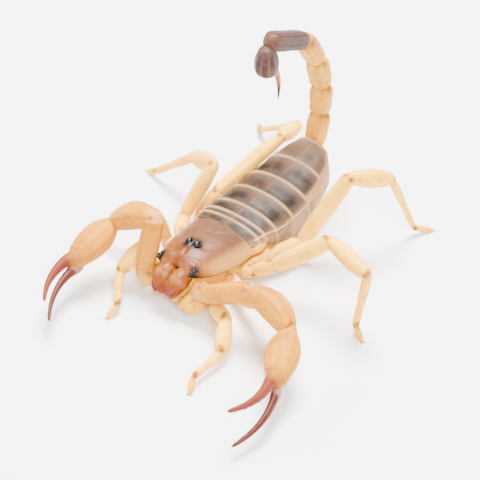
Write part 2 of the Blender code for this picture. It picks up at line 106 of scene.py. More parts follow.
# %% Sizes of the limbs
PALP_ROOT, TROCHANTER_RADIUS = (4.2, -13.5, 4.9), 1.6
PALP_LENGTHS, PALP_THICKNESS = (9.0, 9.0, 9.4), (1.6, 2.05)
PATELLA_ARCH = 0.8
PALPS = {                     # a finger: start from the hand's end, length, heading, climb
    LEFT: {"trochanter": (6.0, -14.8, 5.2), "turns": ((10, 25), (-12, -11), (-66, -12)),
           "fixed": ((-0.45, -0.5, 0.6), 9.7, -92, 5),
           "movable": ((0.7, -0.75, -1.1), 10.9, -88, -12)},
    RIGHT: {"trochanter": (-5.3, -15.25, 4.35), "turns": ((90, 72), (-177, -28), (-95, -17)),
            "fixed": ((-0.4, -0.3, 0.6), 9.9, -70, -4),
            "movable": ((0.6, -0.7, -1.0), 11.0, -67, -6)}}
FINGER_BOW, FINGER_TIP = 1.2, 0.27
FINGER_BASES = {"fixed": 0.98, "movable": 0.78}
LEG_LENGTHS = {
    1: (2.8, 5.0, 5.9, 6.1, 2.6), 2: (3.2, 7.5, 7.0, 7.4, 2.6),
    3: (4.4, 10.1, 9.7, 10.7, 2.8), 4: (5.4, 14.0, 8.6, 11.7, 3.6)}
COXA_ROOTS = {1: (4.72, -10.72, 2.7), 2: (5.55, -7.6, 3.1), 3: (5.85, -4.5, 3.1), 4: (4.3, -1.3, 2.4)}
HIPS = {1: (5.7, -11.1, 3.1), 2: (6.6, -7.6, 3.5), 3: (7.7, -4.0, 3.7), 4: (7.6, 1.0, 4.1)}
LEG_TURNS = {                 # heading and climb of three articles, then two headings
    (LEFT, 1): ((-60, -18), (-29, 14), (-60, -16), -92, -66),
    (LEFT, 2): ((-38, -19), (-22, 33), (-2, -26), -78, -48),
    (LEFT, 3): ((2, 38), (31, 34), (-19, 0), 180, -30),
    (LEFT, 4): ((77, -6), (45, 59), (68, -22), 58, 55),
    (RIGHT, 1): ((170, -11), (-58, 65), (-111, -38), -54, -95),
    (RIGHT, 2): ((141, -12), (-84, 68), (-180, -26), -150, -113),
    (RIGHT, 3): ((118, 3), (59, 60), (152, -27), 178, 169),
    (RIGHT, 4): ((98, 15), (75, 22), (106, -20), 166, 133)}
LEG_THICKNESS = {1: 1.0, 2: 0.95, 3: 1.02, 4: 1.0}
ANKLE_LEVEL, TOE_LEVEL, COXA_RADIUS = 1.5, 0.12, 1.05
print("tail rings mm:", sum(TAIL_LENGTHS), "legs mm:", [round(sum(v), 1) for v in LEG_LENGTHS.values()])

# %% [markdown]
# The frame's origin isn't the body's. The shield over the head is alike on both sides and its rear
# edge has a known y, so its box says where the body's own zero lies in the frame. Everything is
# modelled in body millimetres and only shifted when its mesh is written.

# %% Where the body is
shield_low, shield_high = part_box("carapace")
BODY = np.array(((shield_low.x + shield_high.x) / 2, shield_high.y - CARAPACE[-1][0] * MM, 0.0))
print("body zero in the frame, mm:", np.round(BODY * 1000, 2))


def in_frame(points):
    """Body millimetres to metres in the frame."""
    return np.asarray(points, float) * MM + BODY


# %% [markdown]
# Every shell piece is closed, because a real plate has a thickness. Sculpting would give no exact
# place, so a piece is built as rings of points or as a grid, with numbers painted on its points:
# where it is soft skin ("membrane"), where a joint has its rust-red spot ("spot"), where it turns
# darker or paler ("tint") and where its lines run ("across"). Materials read those numbers, so
# colour follows the anatomy and not the camera.

# %% A shape made of lofts and grids
PAINT = ("spot", "membrane", "tint", "across")


class Shape:
    """Points, faces and painted numbers of one piece, in body millimetres."""

    def __init__(self):
        self.points, self.faces, self.paint, self.count = [], [], {p: [] for p in PAINT}, 0

    def put(self, points, paint):
        points = np.asarray(points, float).reshape(-1, 3)
        first = self.count
        self.points.append(points)
        for name in PAINT:
            value = np.asarray(paint.get(name, 0.0), float).ravel()
            self.paint[name].append(np.broadcast_to(value, len(points)))
        self.count += len(points)
        return first

    def loft(self, rings, **paint):
        """Skins rings of equal length and closes both ends with a point."""
        rings = np.asarray(rings, float)
        rows, sides = rings.shape[:2]
        paint = {k: np.broadcast_to(v, (rows, sides)) for k, v in paint.items()}
        start, first = len(self.faces), self.put(rings, paint)
        turn = [(k, (k + 1) % sides) for k in range(sides)]
        for row in range(rows - 1):
            a, b = first + row * sides, first + (row + 1) * sides
            self.faces += [(a + k, a + j, b + j, b + k) for k, j in turn]
        for row in (0, rows - 1):
            pole = self.put(rings[row].mean(axis=0), {k: v[row].mean() for k, v in paint.items()})
            base = first + row * sides
            self.faces += [(base + k, base + j, pole) if row else (base + j, base + k, pole)
                           for k, j in turn]
        self.face_out(start)

    def plate(self, outer, inner, **paint):
        """A thin closed plate between an outer and an inner grid of points."""
        rows, columns = outer.shape[:2]
        paint = {k: np.broadcast_to(v, (rows, columns)) for k, v in paint.items()}
        start = len(self.faces)
        top, under = self.put(outer, paint), self.put(inner, paint)
        for r in range(rows - 1):
            for c in range(columns - 1):
                q = r * columns + c
                quad = (q, q + 1, q + columns + 1, q + columns)
                self.faces.append(tuple(top + i for i in quad))
                self.faces.append(tuple(under + i for i in reversed(quad)))
        grid = np.arange(rows * columns).reshape(rows, columns)
        rim = np.concatenate((grid[0], grid[1:, -1], grid[-1, -2::-1], grid[-2:0:-1, 0])).tolist()
        self.faces += [(top + b, top + a, under + a, under + b) for a, b in zip(rim, rim[1:] + rim[:1])]
        self.face_out(start)

    def face_out(self, start):
        """Turns the closed form made of the faces from start on outwards, by its volume's sign."""
        faces = self.faces[start:]
        triangles = np.array([(face[0], b, c) for face in faces for b, c in zip(face[1:], face[2:])])
        corners = np.concatenate(self.points)[triangles]
        corners = corners - corners.mean(axis=(0, 1))
        if np.einsum("ij,ij->", corners[:, 0], np.cross(corners[:, 1], corners[:, 2])) < 0:
            self.faces[start:] = [face[::-1] for face in faces]

    def stay_above(self, level):
        for points in self.points:
            points[:, 2] = np.maximum(points[:, 2], level)

    def write(self, name, material, nodes=(), slot=None):
        mesh = bpy.data.meshes.new(name)
        mesh.from_pydata(in_frame(np.concatenate(self.points)).tolist(), [], self.faces)
        for label in PAINT:
            layer = mesh.attributes.new(label, "FLOAT", "POINT")
            layer.data.foreach_set("value", np.concatenate(self.paint[label]).astype(np.float32))
        mesh.update()
        return adopt(name, mesh, material, nodes, slot)


def adopt(name, mesh, material, nodes=(), slot=None):
    """Smooths a mesh, gives it its finish and lets the piece ride on the body."""
    mesh.materials.clear()
    mesh.materials.append(material)
    mesh.shade_smooth()
    piece = bpy.data.objects.new(name, mesh)
    bpy.context.collection.objects.link(piece)
    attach(piece, "root")
    if nodes:
        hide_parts(*nodes)
    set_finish(piece, slot or nodes[0])
    print(f"{name}: {sum(len(p.vertices) - 2 for p in mesh.polygons)} triangles")
    return piece


# %% [markdown]
# Shell has no sharp corners, so most shapes below are sums of soft humps along a smooth curve. A
# table gives sizes at a few stations, and a smooth reading of it gives the sizes between them.

# %% Curves and directions
def direction(heading, climb):
    h, c = radians(heading), radians(climb)
    return np.array((cos(c) * cos(h), cos(c) * sin(h), sin(c)))


def unit(v):
    return np.asarray(v, float) / np.linalg.norm(v)


def smooth_steps(t, a, leave, b, arrive, span=1.0):
    """From a to b over a span, leaving and arriving with given slopes."""
    return ((2 * t**3 - 3 * t**2 + 1) * a + (t**3 - 2 * t**2 + t) * span * leave
            + (3 * t**2 - 2 * t**3) * b + (t**3 - t**2) * span * arrive)


def smooth_table(table, at):
    """Reads columns of a table at any place, with soft turns at its stations."""
    table = np.asarray(table, float)
    x = table[:, 0]
    at = np.clip(np.atleast_1d(at), x[0], x[-1])
    k = np.clip(np.searchsorted(x, at) - 1, 0, len(x) - 2)
    span = (x[k + 1] - x[k])[:, None]
    slopes = np.gradient(table[:, 1:], x, axis=0)
    return smooth_steps((at - x[k])[:, None] / span, table[k, 1:], slopes[k],
                        table[k + 1, 1:], slopes[k + 1], span)


def hump(x, centre, width):
    return np.exp(-((np.asarray(x, float) - centre) / width) ** 2)


def near(points, place, reach):
    """1 at a place, fading to nothing around it."""
    return np.exp(-(np.linalg.norm(points - place, axis=-1) / reach) ** 2)


def slope(x, start, length):
    """Climbs from 0 at start to 1 after a length."""
    return np.clip((x - start) / length, 0, 1)


def rounding(distance, radius, least=0.0, depth=1.0):
    """Width of a rounded end at a distance from its tip."""
    return sqrt(max(1 - depth * max(1 - distance / radius, 0) ** 2, least))


def superellipse(sides, power):
    angle = 2 * pi * np.arange(sides) / sides
    c, s = np.cos(angle), np.sin(angle)
    return angle, np.abs(c) ** (2 / power) * np.sign(c), np.abs(s) ** (2 / power) * np.sign(s)


def ring_at(middle, across, side, rise, up):
    """Points of a ring round a middle: how far across and up each one lies."""
    return middle + np.outer(across, side) + np.outer(rise, up)


# %% [markdown]
# Materials. Scorpion shell is a thin, waxy, slightly see-through layer over darker tissue. The look
# comes from three things: a base colour that drifts between a light and a deep tone over a few
# millimetres, some light scattered below the surface, and a soft gloss broken by very fine bumps.
# The drift and the bumps are needed in every finish, so they are node groups with named inputs.

# %% Tools for node trees
def group(name, inputs, outputs, kind="ShaderNodeTree"):
    """A new node tree with named sockets, its inputs' values and its outputs' targets."""
    tree = bpy.data.node_groups.new(name, kind)
    for label, what, value in inputs:
        socket = tree.interface.new_socket(label, in_out="INPUT", socket_type="NodeSocket" + what)
        if value is not None:
            socket.default_value = value
    for label, what in outputs:
        tree.interface.new_socket(label, in_out="OUTPUT", socket_type="NodeSocket" + what)
    return tree, tree.nodes.new("NodeGroupInput").outputs, tree.nodes.new("NodeGroupOutput").inputs


def node(tree, kind, settings=(), **inputs):
    """Adds a node; name=value sets a socket, or links it when the value is a socket. i0 is the
    first socket, for nodes whose sockets share a name."""
    made = tree.nodes.new(kind)
    for key, value in dict(settings).items():
        setattr(made, key, value)
    for key, value in inputs.items():
        socket = made.inputs[int(key[1:]) if key[0] == "i" and key[1:].isdigit() else key]
        if isinstance(value, bpy.types.NodeSocket):
            tree.links.new(value, socket)
        else:
            socket.default_value = value
    return made


def maths(tree, operation, a, b=0.0, clamp=False):
    settings = {"operation": operation, "use_clamp": clamp}
    return node(tree, "ShaderNodeMath", settings, i0=a, i1=b).outputs[0]


def ramp(tree, value, low, high, start=0.0, end=1.0):
    """Maps a value between low and high to start and end."""
    return node(tree, "ShaderNodeMapRange", i0=value, i1=low, i2=high, i3=start, i4=end).outputs[0]


def blend(tree, amount, a, b):
    """Mixes two colours, given as sockets or as three numbers, by an amount."""
    a, b = [(*v, 1.0) if isinstance(v, tuple) else v for v in (a, b)]
    return node(tree, "ShaderNodeMix", {"data_type": "RGBA"}, i0=amount, i6=a, i7=b).outputs[2]


def noise(tree, where, scale, detail=2.0):
    return node(tree, "ShaderNodeTexNoise", Vector=where, Scale=scale, Detail=detail).outputs[0]


# %% Shared effects
FINE_PER_PATCH, LIGHT_SHARE = 5.0, 0.55
SPECKS_PER_METRE, SPECK_AREAS_PER_METRE, WAVES_PER_METRE = 1700.0, 420.0, 1400.0


def drift_group():
    """Base colour that drifts between deep, middle and light tones, with rare dark specks."""
    tree, given, out = group(
        "shell_drift", [("Deep", "Color", None), ("Middle", "Color", None), ("Light", "Color", None),
                        ("Patches per metre", "Float", 300.0)],
        [("Colour", "Color"), ("Mask", "Float"), ("Specks", "Float")])
    where = node(tree, "ShaderNodeTexCoord").outputs["Object"]
    broad = noise(tree, where, given["Patches per metre"], 3.0)
    fine = noise(tree, where, maths(tree, "MULTIPLY", given["Patches per metre"], FINE_PER_PATCH))
    colour = blend(tree, ramp(tree, broad, 0.38, 0.55), given["Deep"], given["Middle"])
    lit = maths(tree, "MULTIPLY", ramp(tree, fine, 0.48, 0.72), LIGHT_SHARE)
    tree.links.new(blend(tree, lit, colour, given["Light"]), out["Colour"])
    tree.links.new(broad, out["Mask"])
    cells = node(tree, "ShaderNodeTexVoronoi", Vector=where, Scale=SPECKS_PER_METRE).outputs["Distance"]
    dense = ramp(tree, noise(tree, where, SPECK_AREAS_PER_METRE), 0.46, 0.58)
    tree.links.new(maths(tree, "MULTIPLY", ramp(tree, cells, 0.22, 0.36, 1.0, 0.0), dense), out["Specks"])
    return tree


def grain_group():
    """Height of the fine bumps: small grains, and a soft unevenness below them."""
    tree, given, out = group("shell_grain", [("Grains per metre", "Float", 4000.0),
                                             ("Grains", "Float", 0.5)], [("Height", "Float")])
    where = node(tree, "ShaderNodeTexCoord").outputs["Object"]
    cells = node(tree, "ShaderNodeTexVoronoi", {"feature": "SMOOTH_F1"}, Vector=where,
                 Scale=given["Grains per metre"]).outputs["Distance"]
    beads = maths(tree, "MULTIPLY", ramp(tree, cells, 0.15, 0.5, 1.0, 0.0), given["Grains"])
    wave = maths(tree, "MULTIPLY", noise(tree, where, WAVES_PER_METRE, 3.0), 0.8)
    tree.links.new(maths(tree, "ADD", beads, wave), out["Height"])
    return tree


DRIFT, GRAIN = drift_group(), grain_group()
print("shared effects:", DRIFT.name, GRAIN.name)

# %% [markdown]
# One recipe makes every shell finish. A finish could be its own tree each time, but the parts of
# the animal share one kind of shell, so only colours and strengths differ. The painted numbers are
# laid over the drifting base colour one after the other, and gloss and bumps come from the groups.

# %% A shell finish
SPECK, RUST_SPOT, SOFT_SKIN = (0.30, 0.075, 0.006), (0.15, 0.016, 0.004), (0.62, 0.30, 0.12)
BUMP_METRES, GLOW_METRES, GLOW_SPREAD = 0.00006, 0.0004, (1.0, 0.55, 0.3)
ROUGHNESS_LESS, ROUGHNESS_MORE, COAT_ROUGHNESS = 0.06, 0.08, 0.22


def shell(name, deep, middle, light, roughness=0.45, glow=0.15, patches=300.0, grains=4000.0,
          grain=0.5, bump=0.25, coat=0.0, gleam=0.09, specks=0.0, painted=(), ragged=()):
    """A shell material. painted is a list of (attribute, colour, strength) laid over the base."""
    finish = bpy.data.materials.new(name)
    finish.use_nodes = True
    tree = finish.node_tree
    shader = tree.nodes["Principled BSDF"]
    tones = {"Deep": (*deep, 1.0), "Middle": (*middle, 1.0), "Light": (*light, 1.0)}
    drift = node(tree, "ShaderNodeGroup", {"node_tree": DRIFT}, **tones,
                 **{"Patches per metre": patches}).outputs
    colour = drift["Colour"]
    if specks:
        colour = blend(tree, maths(tree, "MULTIPLY", drift["Specks"], specks), colour, SPECK)
    for label, over, strength in painted:
        mask = node(tree, "ShaderNodeAttribute", {"attribute_name": label}).outputs["Fac"]
        mask = maths(tree, "MULTIPLY", mask, strength, clamp=True)
        if label in ragged:
            mask = maths(tree, "MULTIPLY", mask, ramp(tree, drift["Mask"], 0.38, 0.58, 0.35))
        colour = blend(tree, mask, colour, over)
    height = node(tree, "ShaderNodeGroup", {"node_tree": GRAIN}, Grains=grain,
                  **{"Grains per metre": grains}).outputs["Height"]
    bumps = node(tree, "ShaderNodeBump", Strength=bump, Distance=BUMP_METRES, Height=height)
    rough = ramp(tree, drift["Mask"], 0.3, 0.7, roughness - ROUGHNESS_LESS, roughness + ROUGHNESS_MORE)
    for socket, label in ((colour, "Base Color"), (bumps.outputs[0], "Normal"), (rough, "Roughness")):
        tree.links.new(socket, shader.inputs[label])
    for label, value in (("Subsurface Weight", glow), ("Subsurface Radius", GLOW_SPREAD),
                         ("Subsurface Scale", GLOW_METRES), ("Specular IOR Level", gleam),
                         ("Coat Weight", coat), ("Coat Roughness", COAT_ROUGHNESS)):
        shader.inputs[label].default_value = value
    return finish


# %% [markdown]
# The shield. On the animal it is one glossy plate, domed from side to side, with a raised rim, a
# knob in the middle that carries the two large eyes, and shallow furrows in front of and behind
# the knob. It is a grid over its known outline; each furrow and bump is a soft rise or dip that is
# added to the height, which is easier to steer than sculpting.

# %% Relief of the shield
RELIEF_SHARE = 0.7
MIDDLE_FURROWS = (            # start, end, width, depth
    ((0, -14.6), (0, -11.4), 0.35, 0.16), ((0, -10.4), (0, -9.2), 0.16, 0.14),
    ((0, -7.6), (0, -2.6), 0.30, 0.26))
SIDE_FURROWS = (((0.5, -5.9), (3.6, -3.1), 0.45, 0.20), ((1.7, -9.4), (4.2, -7.8), 0.5, 0.20),
                ((1.3, -12.6), (3.9, -11.4), 0.45, 0.14))
SIDE_RISES = ((0.16, (2.3, -13.0), (0.9, 0.8)), (0.12, (3.0, -6.0), (1.2, 1.4)))


def furrow(x, y, start, end, width, depth):
    """Depth of a groove that follows a short line from one point to another."""
    (ax, ay), (bx, by) = start, end
    t = np.clip(((x - ax) * (bx - ax) + (y - ay) * (by - ay)) / ((bx - ax) ** 2 + (by - ay) ** 2), 0, 1)
    away = np.hypot(x - ax - t * (bx - ax), y - ay - t * (by - ay))
    return -depth * np.exp(-(away / width) ** 2)


def rise(x, y, middle, size):
    """A soft round rise, 1 at its middle."""
    return np.exp(-((x - middle[0]) / size[0]) ** 2 - ((y - middle[1]) / size[1]) ** 2)


def shield_relief(x, y, across):
    """Rise and fall of the shield's surface, in millimetres."""
    eye_y = MEDIAN_EYE[1]
    relief = 0.42 * rise(x, y, (0, eye_y), (1.15, 1.5))
    relief += 0.16 * rise(np.abs(x), y, (0.62, eye_y + 0.15), (0.28, 0.85))
    for start, end, width, depth in MIDDLE_FURROWS:
        relief += furrow(x, y, start, end, width, depth)
    for side in (LEFT, RIGHT):
        for start, end, width, depth in SIDE_FURROWS:
            relief += furrow(x * side, y, start, end, width, depth)
        for height, middle, size in SIDE_RISES:
            relief += height * rise(x * side, y, middle, size)
    rim = hump(np.abs(across), 0.985, 0.02) * 0.04 - hump(np.abs(across), 0.94, 0.03) * 0.03
    return RELIEF_SHARE * relief * np.clip((1 - np.abs(across)) * 6, 0, 1) + rim


# %% Outline of the shield
FRONT_ROLL, REAR_ROLL, CORNER = 1.1, 0.35, 1.3
SHIELD_ROWS, SHIELD_COLUMNS, SHIELD_THICKNESS, SHIELD_ARCH = 124, 97, 0.28, 0.85
SHIELD_INSET = 0.985          # the inner side is a little narrower than the outer one
shield_front, shield_rear = CARAPACE[0][0] - 0.15, CARAPACE[-1][0] + 0.05
ys = shield_front + (shield_rear - shield_front) * np.linspace(0, 1, SHIELD_ROWS) ** 1.7
half_width, edge, crown = smooth_table(CARAPACE, ys).T[:, :, None]
to_corner = np.clip(CORNER - (ys - ys[0]), 0, None)[:, None]
half_width = half_width - CORNER + np.sqrt(CORNER ** 2 - to_corner ** 2)
angle = np.linspace(0, pi, SHIELD_COLUMNS)[None, :]
x = half_width * np.cos(angle)
y = ys[:, None] + (0.25 + 0.85 * np.sin(angle) ** 3) * hump(ys, shield_front, 2.0)[:, None]
roll = np.sqrt(np.clip(1 - np.clip(1 - (ys - ys[0]) / FRONT_ROLL, 0, 1) ** 2, 0, 1))
roll *= np.sqrt(np.clip(1 - 0.6 * np.clip(1 - (ys[-1] - ys) / REAR_ROLL, 0, 1) ** 2, 0, 1))
z = edge + (crown - edge) * np.sin(angle) ** SHIELD_ARCH * (0.1 + 0.9 * roll[:, None])
z = z + shield_relief(x, y, np.cos(angle))
outer = np.stack(np.broadcast_arrays(x, y, z), axis=-1)
inner = outer - np.array((0, 0, SHIELD_THICKNESS))
inner[:, :, 0] *= SHIELD_INSET
print("shield grid:", outer.shape[:2])

# %% [markdown]
# The shield's colours: an orange front, a browner rear, a cream margin low on the sides and a
# black shade round the eyes. A picture laid over it could carry them, but numbers painted on the
# points of a fine grid need no picture file and follow the shape when it changes.

# %% Colours of the shield
SHIELD_FINISH = shell(
    "shield_glaze", (0.115, 0.031, 0.006), (0.165, 0.050, 0.010), (0.25, 0.092, 0.028), 0.38,
    glow=0.10, patches=240.0, bump=0.2, coat=0.03, gleam=0.11, grain=0.25,
    painted=(("tint", (0.084, 0.039, 0.024), 0.85), ("membrane", (0.56, 0.28, 0.07), 0.85),
             ("spot", (0.006, 0.005, 0.006), 1.0)))
row_y = ys[:, None]
margin = slope(np.abs(np.cos(angle)), 0.70, 0.28) ** 1.3 * slope(row_y, -13.2, 3)
margin = margin + 0.5 * hump(row_y, ys[-1], 0.30)
eye_shade = sum(rise(x * s, y, MEDIAN_EYE, (0.70, 0.95)) for s in (LEFT, RIGHT)) * 1.7
corner_shade = sum(rise(x * s, y, (3.3, -13.6), (0.50, 0.85)) for s in (LEFT, RIGHT))
shield = Shape()
shield.plate(outer, inner, tint=slope(row_y, -11.5, 7.0), membrane=np.clip(margin, 0, 1),
             spot=1 - (1 - np.clip(eye_shade / 1.6 + corner_shade, 0, 1)) ** 3)
shield.write("shield", SHIELD_FINISH, ["carapace"])

# %% [markdown]
# The eyes are clear black domes. The two large ones sit on the knob, and a row of three small
# ones stands at each front corner. Each is a ball lofted from rings, glossy enough to catch the
# studio light. A ready-made sphere would do too, but a loft can be stretched and joined to others.

# %% Eyes
EYE_FINISH = shell("eye_black", (0.003, 0.003, 0.004), (0.005, 0.005, 0.006), (0.009, 0.009, 0.011), 0.16,
                   glow=0.0, bump=0.02, gleam=0.35, grain=0.0)
LARGE_EYE_STRETCH, LARGE_EYE_LIFT = (1.15, 1.3, 1.1), 0.08
SMALL_EYES = ((-0.40, 0.30), (0.12, 0.36), (0.66, 0.24))     # place along the row, radius
POLE = 0.985                  # how far a ball's last ring lies towards its end


def dome(shape, centre, radius, stretch=(1, 1, 1), rings=14, sides=20):
    """A closed ball of rings."""
    _, c, s = superellipse(sides, 2.0)
    points = []
    for level in np.linspace(-POLE, POLE, rings):
        size = sqrt(1 - level ** 2)
        flat = np.stack((c * size, s * size, np.full(sides, level)), axis=-1)
        points.append(np.asarray(centre) + flat * radius * np.asarray(stretch))
    shape.loft(points)


for side, word in SIDE_NAMES.items():
    large, small = Shape(), Shape()
    x, y, z = MEDIAN_EYE
    dome(large, (x * side, y, z + LARGE_EYE_LIFT), MEDIAN_EYE_RADIUS, LARGE_EYE_STRETCH)
    large.write(f"large_eye_{word}", EYE_FINISH, [f"eye_median_{word}"])
    x, y, z = LATERAL_EYES
    for step, radius in SMALL_EYES:
        dome(small, ((x + 0.22 * (step + 0.6)) * side, y + step, z - 0.05), radius, rings=10, sides=14)
    small.write(f"small_eyes_{word}", EYE_FINISH, [f"eyes_lateral_{word}"])

# %% [markdown]
# The trunk behind the shield. Seven back plates overlap like roof tiles and five belly plates do
# the same below. Between them is soft folded skin. One outline, a rounded box whose sizes change
# from head to tail, serves all three, so that nothing gapes: the skin lies a little inside it and
# the plates a little outside.

# %% Trunk outline
TRUNK_POWER = 2.15
PLATE_EDGE = 26               # degrees above the flank where a back plate ends


def trunk_point(y, angle, out=0.0):
    """A point on the trunk at y, at an angle round it from the left flank, moved outwards."""
    y, angle = np.broadcast_arrays(np.asarray(y, float), np.asarray(angle, float))
    centre, half_width, low, high = [column.reshape(y.shape) for column in smooth_table(TRUNK, y.ravel()).T]
    c, s = np.cos(angle), np.sin(angle)
    across = np.abs(c) ** (2 / TRUNK_POWER) * np.sign(c)
    up = np.abs(s) ** (2 / TRUNK_POWER) * np.sign(s)
    return np.stack((centre + (half_width + out) * across, y,
                     (low + high) / 2 + ((high - low) / 2 + out) * up), axis=-1)


# %% [markdown]
# The skin of flank and belly. It is thin and full of lengthwise folds, and drawn in between two
# plates. It is one closed loft along the body whose rings are wavy at the flanks. A pale cord runs
# along each flank where the back plates end, thicker at every joint.

# %% Flank and belly skin
SIDE_FINISH = shell(
    "side_skin", (0.19, 0.110, 0.060), (0.29, 0.178, 0.105), (0.40, 0.265, 0.165), bump=0.5, coat=0.04,
    painted=(("tint", (0.52, 0.30, 0.12), 0.8), ("across", (0.66, 0.32, 0.04), 0.8)))
SKIN_SIDES, SKIN_RINGS, FOLDS, FOLD_HEIGHT, SKIN_DEPTH = 96, 150, 22, 0.05, 0.22
CORD_SIDES, CORD_STEPS, CORD_RADIUS, CORD_KNOT = 10, 120, 0.13, 0.16
inner_ends = SEGMENT_ENDS[1:-1]
angle = 2 * pi * np.arange(SKIN_SIDES) / SKIN_SIDES
flank = np.exp(-((np.cos(angle) ** 2 - 1) / 0.5) ** 2)
ys = np.linspace(-2.6, 21.3, SKIN_RINGS)
rings, folds = [], []
for y in ys:
    joint = min(abs(y - end) for end in inner_ends)
    round_off = rounding(ys[-1] - y, 1.2, 0.02) * rounding(y - ys[0], 1.0, 0.02, 0.3)
    swell = 0.16 * flank * (1 - np.exp(-(joint / 0.35) ** 2))
    swell = swell + FOLD_HEIGHT * flank * np.sin(angle * FOLDS + y * 1.3)
    ring = trunk_point(y, angle, swell - SKIN_DEPTH)
    middle = ring.mean(axis=0)
    rings.append(middle + (ring - middle) * np.array((round_off, 1, round_off)))
    folds.append(flank * np.exp(-(joint / 0.28) ** 2))
soft = Shape()
pale_end = 0.75 * slope(ys, 10.0, 7.0)[:, None]
soft.loft(rings, tint=np.clip(np.array(folds) + pale_end, 0, 1),
          across=np.clip(-np.sin(angle) * 1.6 - 0.25, 0, 1))
_, c, s = superellipse(CORD_SIDES, 2)
for cord_angle in (radians(PLATE_EDGE - 2), pi - radians(PLATE_EDGE - 2)):
    cord = []
    for place in trunk_point(np.linspace(-1.6, 17.5, CORD_STEPS), cord_angle, 0.02):
        knot = sum(hump(place[1], end - 0.15, 0.28) for end in inner_ends)
        radius = CORD_RADIUS + CORD_KNOT * knot
        cord.append(ring_at(place, c * radius, (1, 0, 0), s * radius, (0, 0, 1)))
    soft.loft(cord, tint=1.0)
soft.write("flank_skin", SIDE_FINISH, ["mesosoma_1"])

# %% [markdown]
# A back plate has a smooth dark middle, four darker patches, a faint middle line and a pale thick
# rear margin that lies on the next plate. It is a grid over the trunk's outline, lifted more and
# more towards its rear edge. The rims are real steps in the surface and not only colour, because
# the light of a low lamp shows them.

# %% Back plates
BACK_FINISH = shell(
    "back_plate_smoke", (0.056, 0.032, 0.020), (0.080, 0.050, 0.033), (0.13, 0.085, 0.058), 0.44,
    glow=0.08, patches=420.0, bump=0.35, coat=0.02, gleam=0.11, grain=0.3,
    painted=(("across", (0.0105, 0.0065, 0.0048), 0.97), ("spot", (0.13, 0.044, 0.010), 0.5),
             ("tint", (0.34, 0.190, 0.085), 0.9)), ragged=("across", "spot"))
BACK_COLUMNS, BACK_STEP, BACK_THICKNESS, LAST_PLATE = 73, 0.12, 0.16, 7
DARK_PATCHES = ((0.24, 0.22, 1.0), (0.60, 0.17, 0.85))       # middle, width, strength
LAST_RIDGES = (0.28, 0.55)


def back_rise(number, along, across, length):
    """How far a back plate stands out from the trunk's outline."""
    out = -0.06 + 0.20 * along + 0.10 * hump(along, 1.0, 0.30 / length)
    out = out + 0.05 * hump(across, 0, 0.02) * np.sin(pi * along)
    out = out + 0.06 * hump(np.abs(across), 1.0, 0.03) - 0.08 * hump(along, 0.28, 0.10)
    for ridge in LAST_RIDGES if number == LAST_PLATE else ():
        out = out + 0.05 * hump(np.abs(across), ridge, 0.035) * np.clip((along - 0.25) * 2, 0, 1)
    return out


def back_paint(number, along, across, length):
    """The pale margins, the dark patches and the warm middle of a back plate."""
    margin = min(0.64, 0.32 * length)
    band = np.clip((along - (1 - margin / length)) * length / 0.30, 0, 1)
    band = band ** 2 * (3 - 2 * band) * (0.70 + 0.30 * np.abs(across)) + 0.16 * slope(along, 0.5, 0.3)
    front = hump(along, 0.0, 0.10) * 0.4 + (0.30 if number == LAST_PLATE else 0.0)
    pale = slope(np.abs(across), 0.90 if number < 6 else 0.76, 0.12)
    dark = sum(strength * hump(np.abs(across), centre, width) * hump(along, 0.37, 0.32)
               for centre, width, strength in DARK_PATCHES) * (0.5 if number == LAST_PLATE else 1.0)
    return {"tint": np.clip(band + front + pale, 0, 1) ** 1.6,
            "across": 1 - (1 - np.clip(dark, 0, 1)) ** 3,
            "spot": hump(across, 0.0, 0.15) * hump(along, 0.62, 0.3)}


def back_plate(number):
    start, stop = SEGMENT_ENDS[number - 1] - 0.35, SEGMENT_ENDS[number]
    stop = stop + (0.22 if number < LAST_PLATE else 0.1)
    length = stop - start
    along = np.linspace(0, 1, max(int(length / BACK_STEP), 14))[:, None]
    across = np.linspace(-1, 1, BACK_COLUMNS)[None, :]
    angle = pi / 2 - across * radians(90 - PLATE_EDGE)
    bow = 0.35 * (1 - across ** 2) * (1 if number > 1 else 0.4)
    y = start + length * along - bow * along * 0.6 + 0.1 * bow
    y = y - 0.3 * slope(np.abs(across), 0.93, 0.07) ** 2 * hump(along, 1.0, 0.12)
    out = back_rise(number, along, across, length)
    plate = Shape()
    plate.plate(trunk_point(y, angle, out), trunk_point(y, angle, out - BACK_THICKNESS),
                **back_paint(number, along, across, length))
    plate.write(f"back_plate_{number}", BACK_FINISH, [f"mesosoma_{number}"])


for number in range(1, LAST_PLATE + 1):
    back_plate(number)

# %% [markdown]
# The belly plates are flatter and amber, and all but the last have a pair of slits that lead to
# the book lungs. They are built like the back plates, with each slit pressed in and darkened.

# %% Belly plates
BELLY_FINISH = shell("belly_amber", (0.46, 0.19, 0.02), (0.58, 0.28, 0.04), (0.70, 0.42, 0.12),
                     painted=(("spot", (0.09, 0.02, 0.008), 0.9), ("tint", (0.70, 0.42, 0.14), 0.6)))
BELLY_ROWS, BELLY_COLUMNS, BELLY_THICKNESS, BELLY_REACH = 34, 61, 0.15, radians(62)
FIRST_BELLY_PLATE = 3


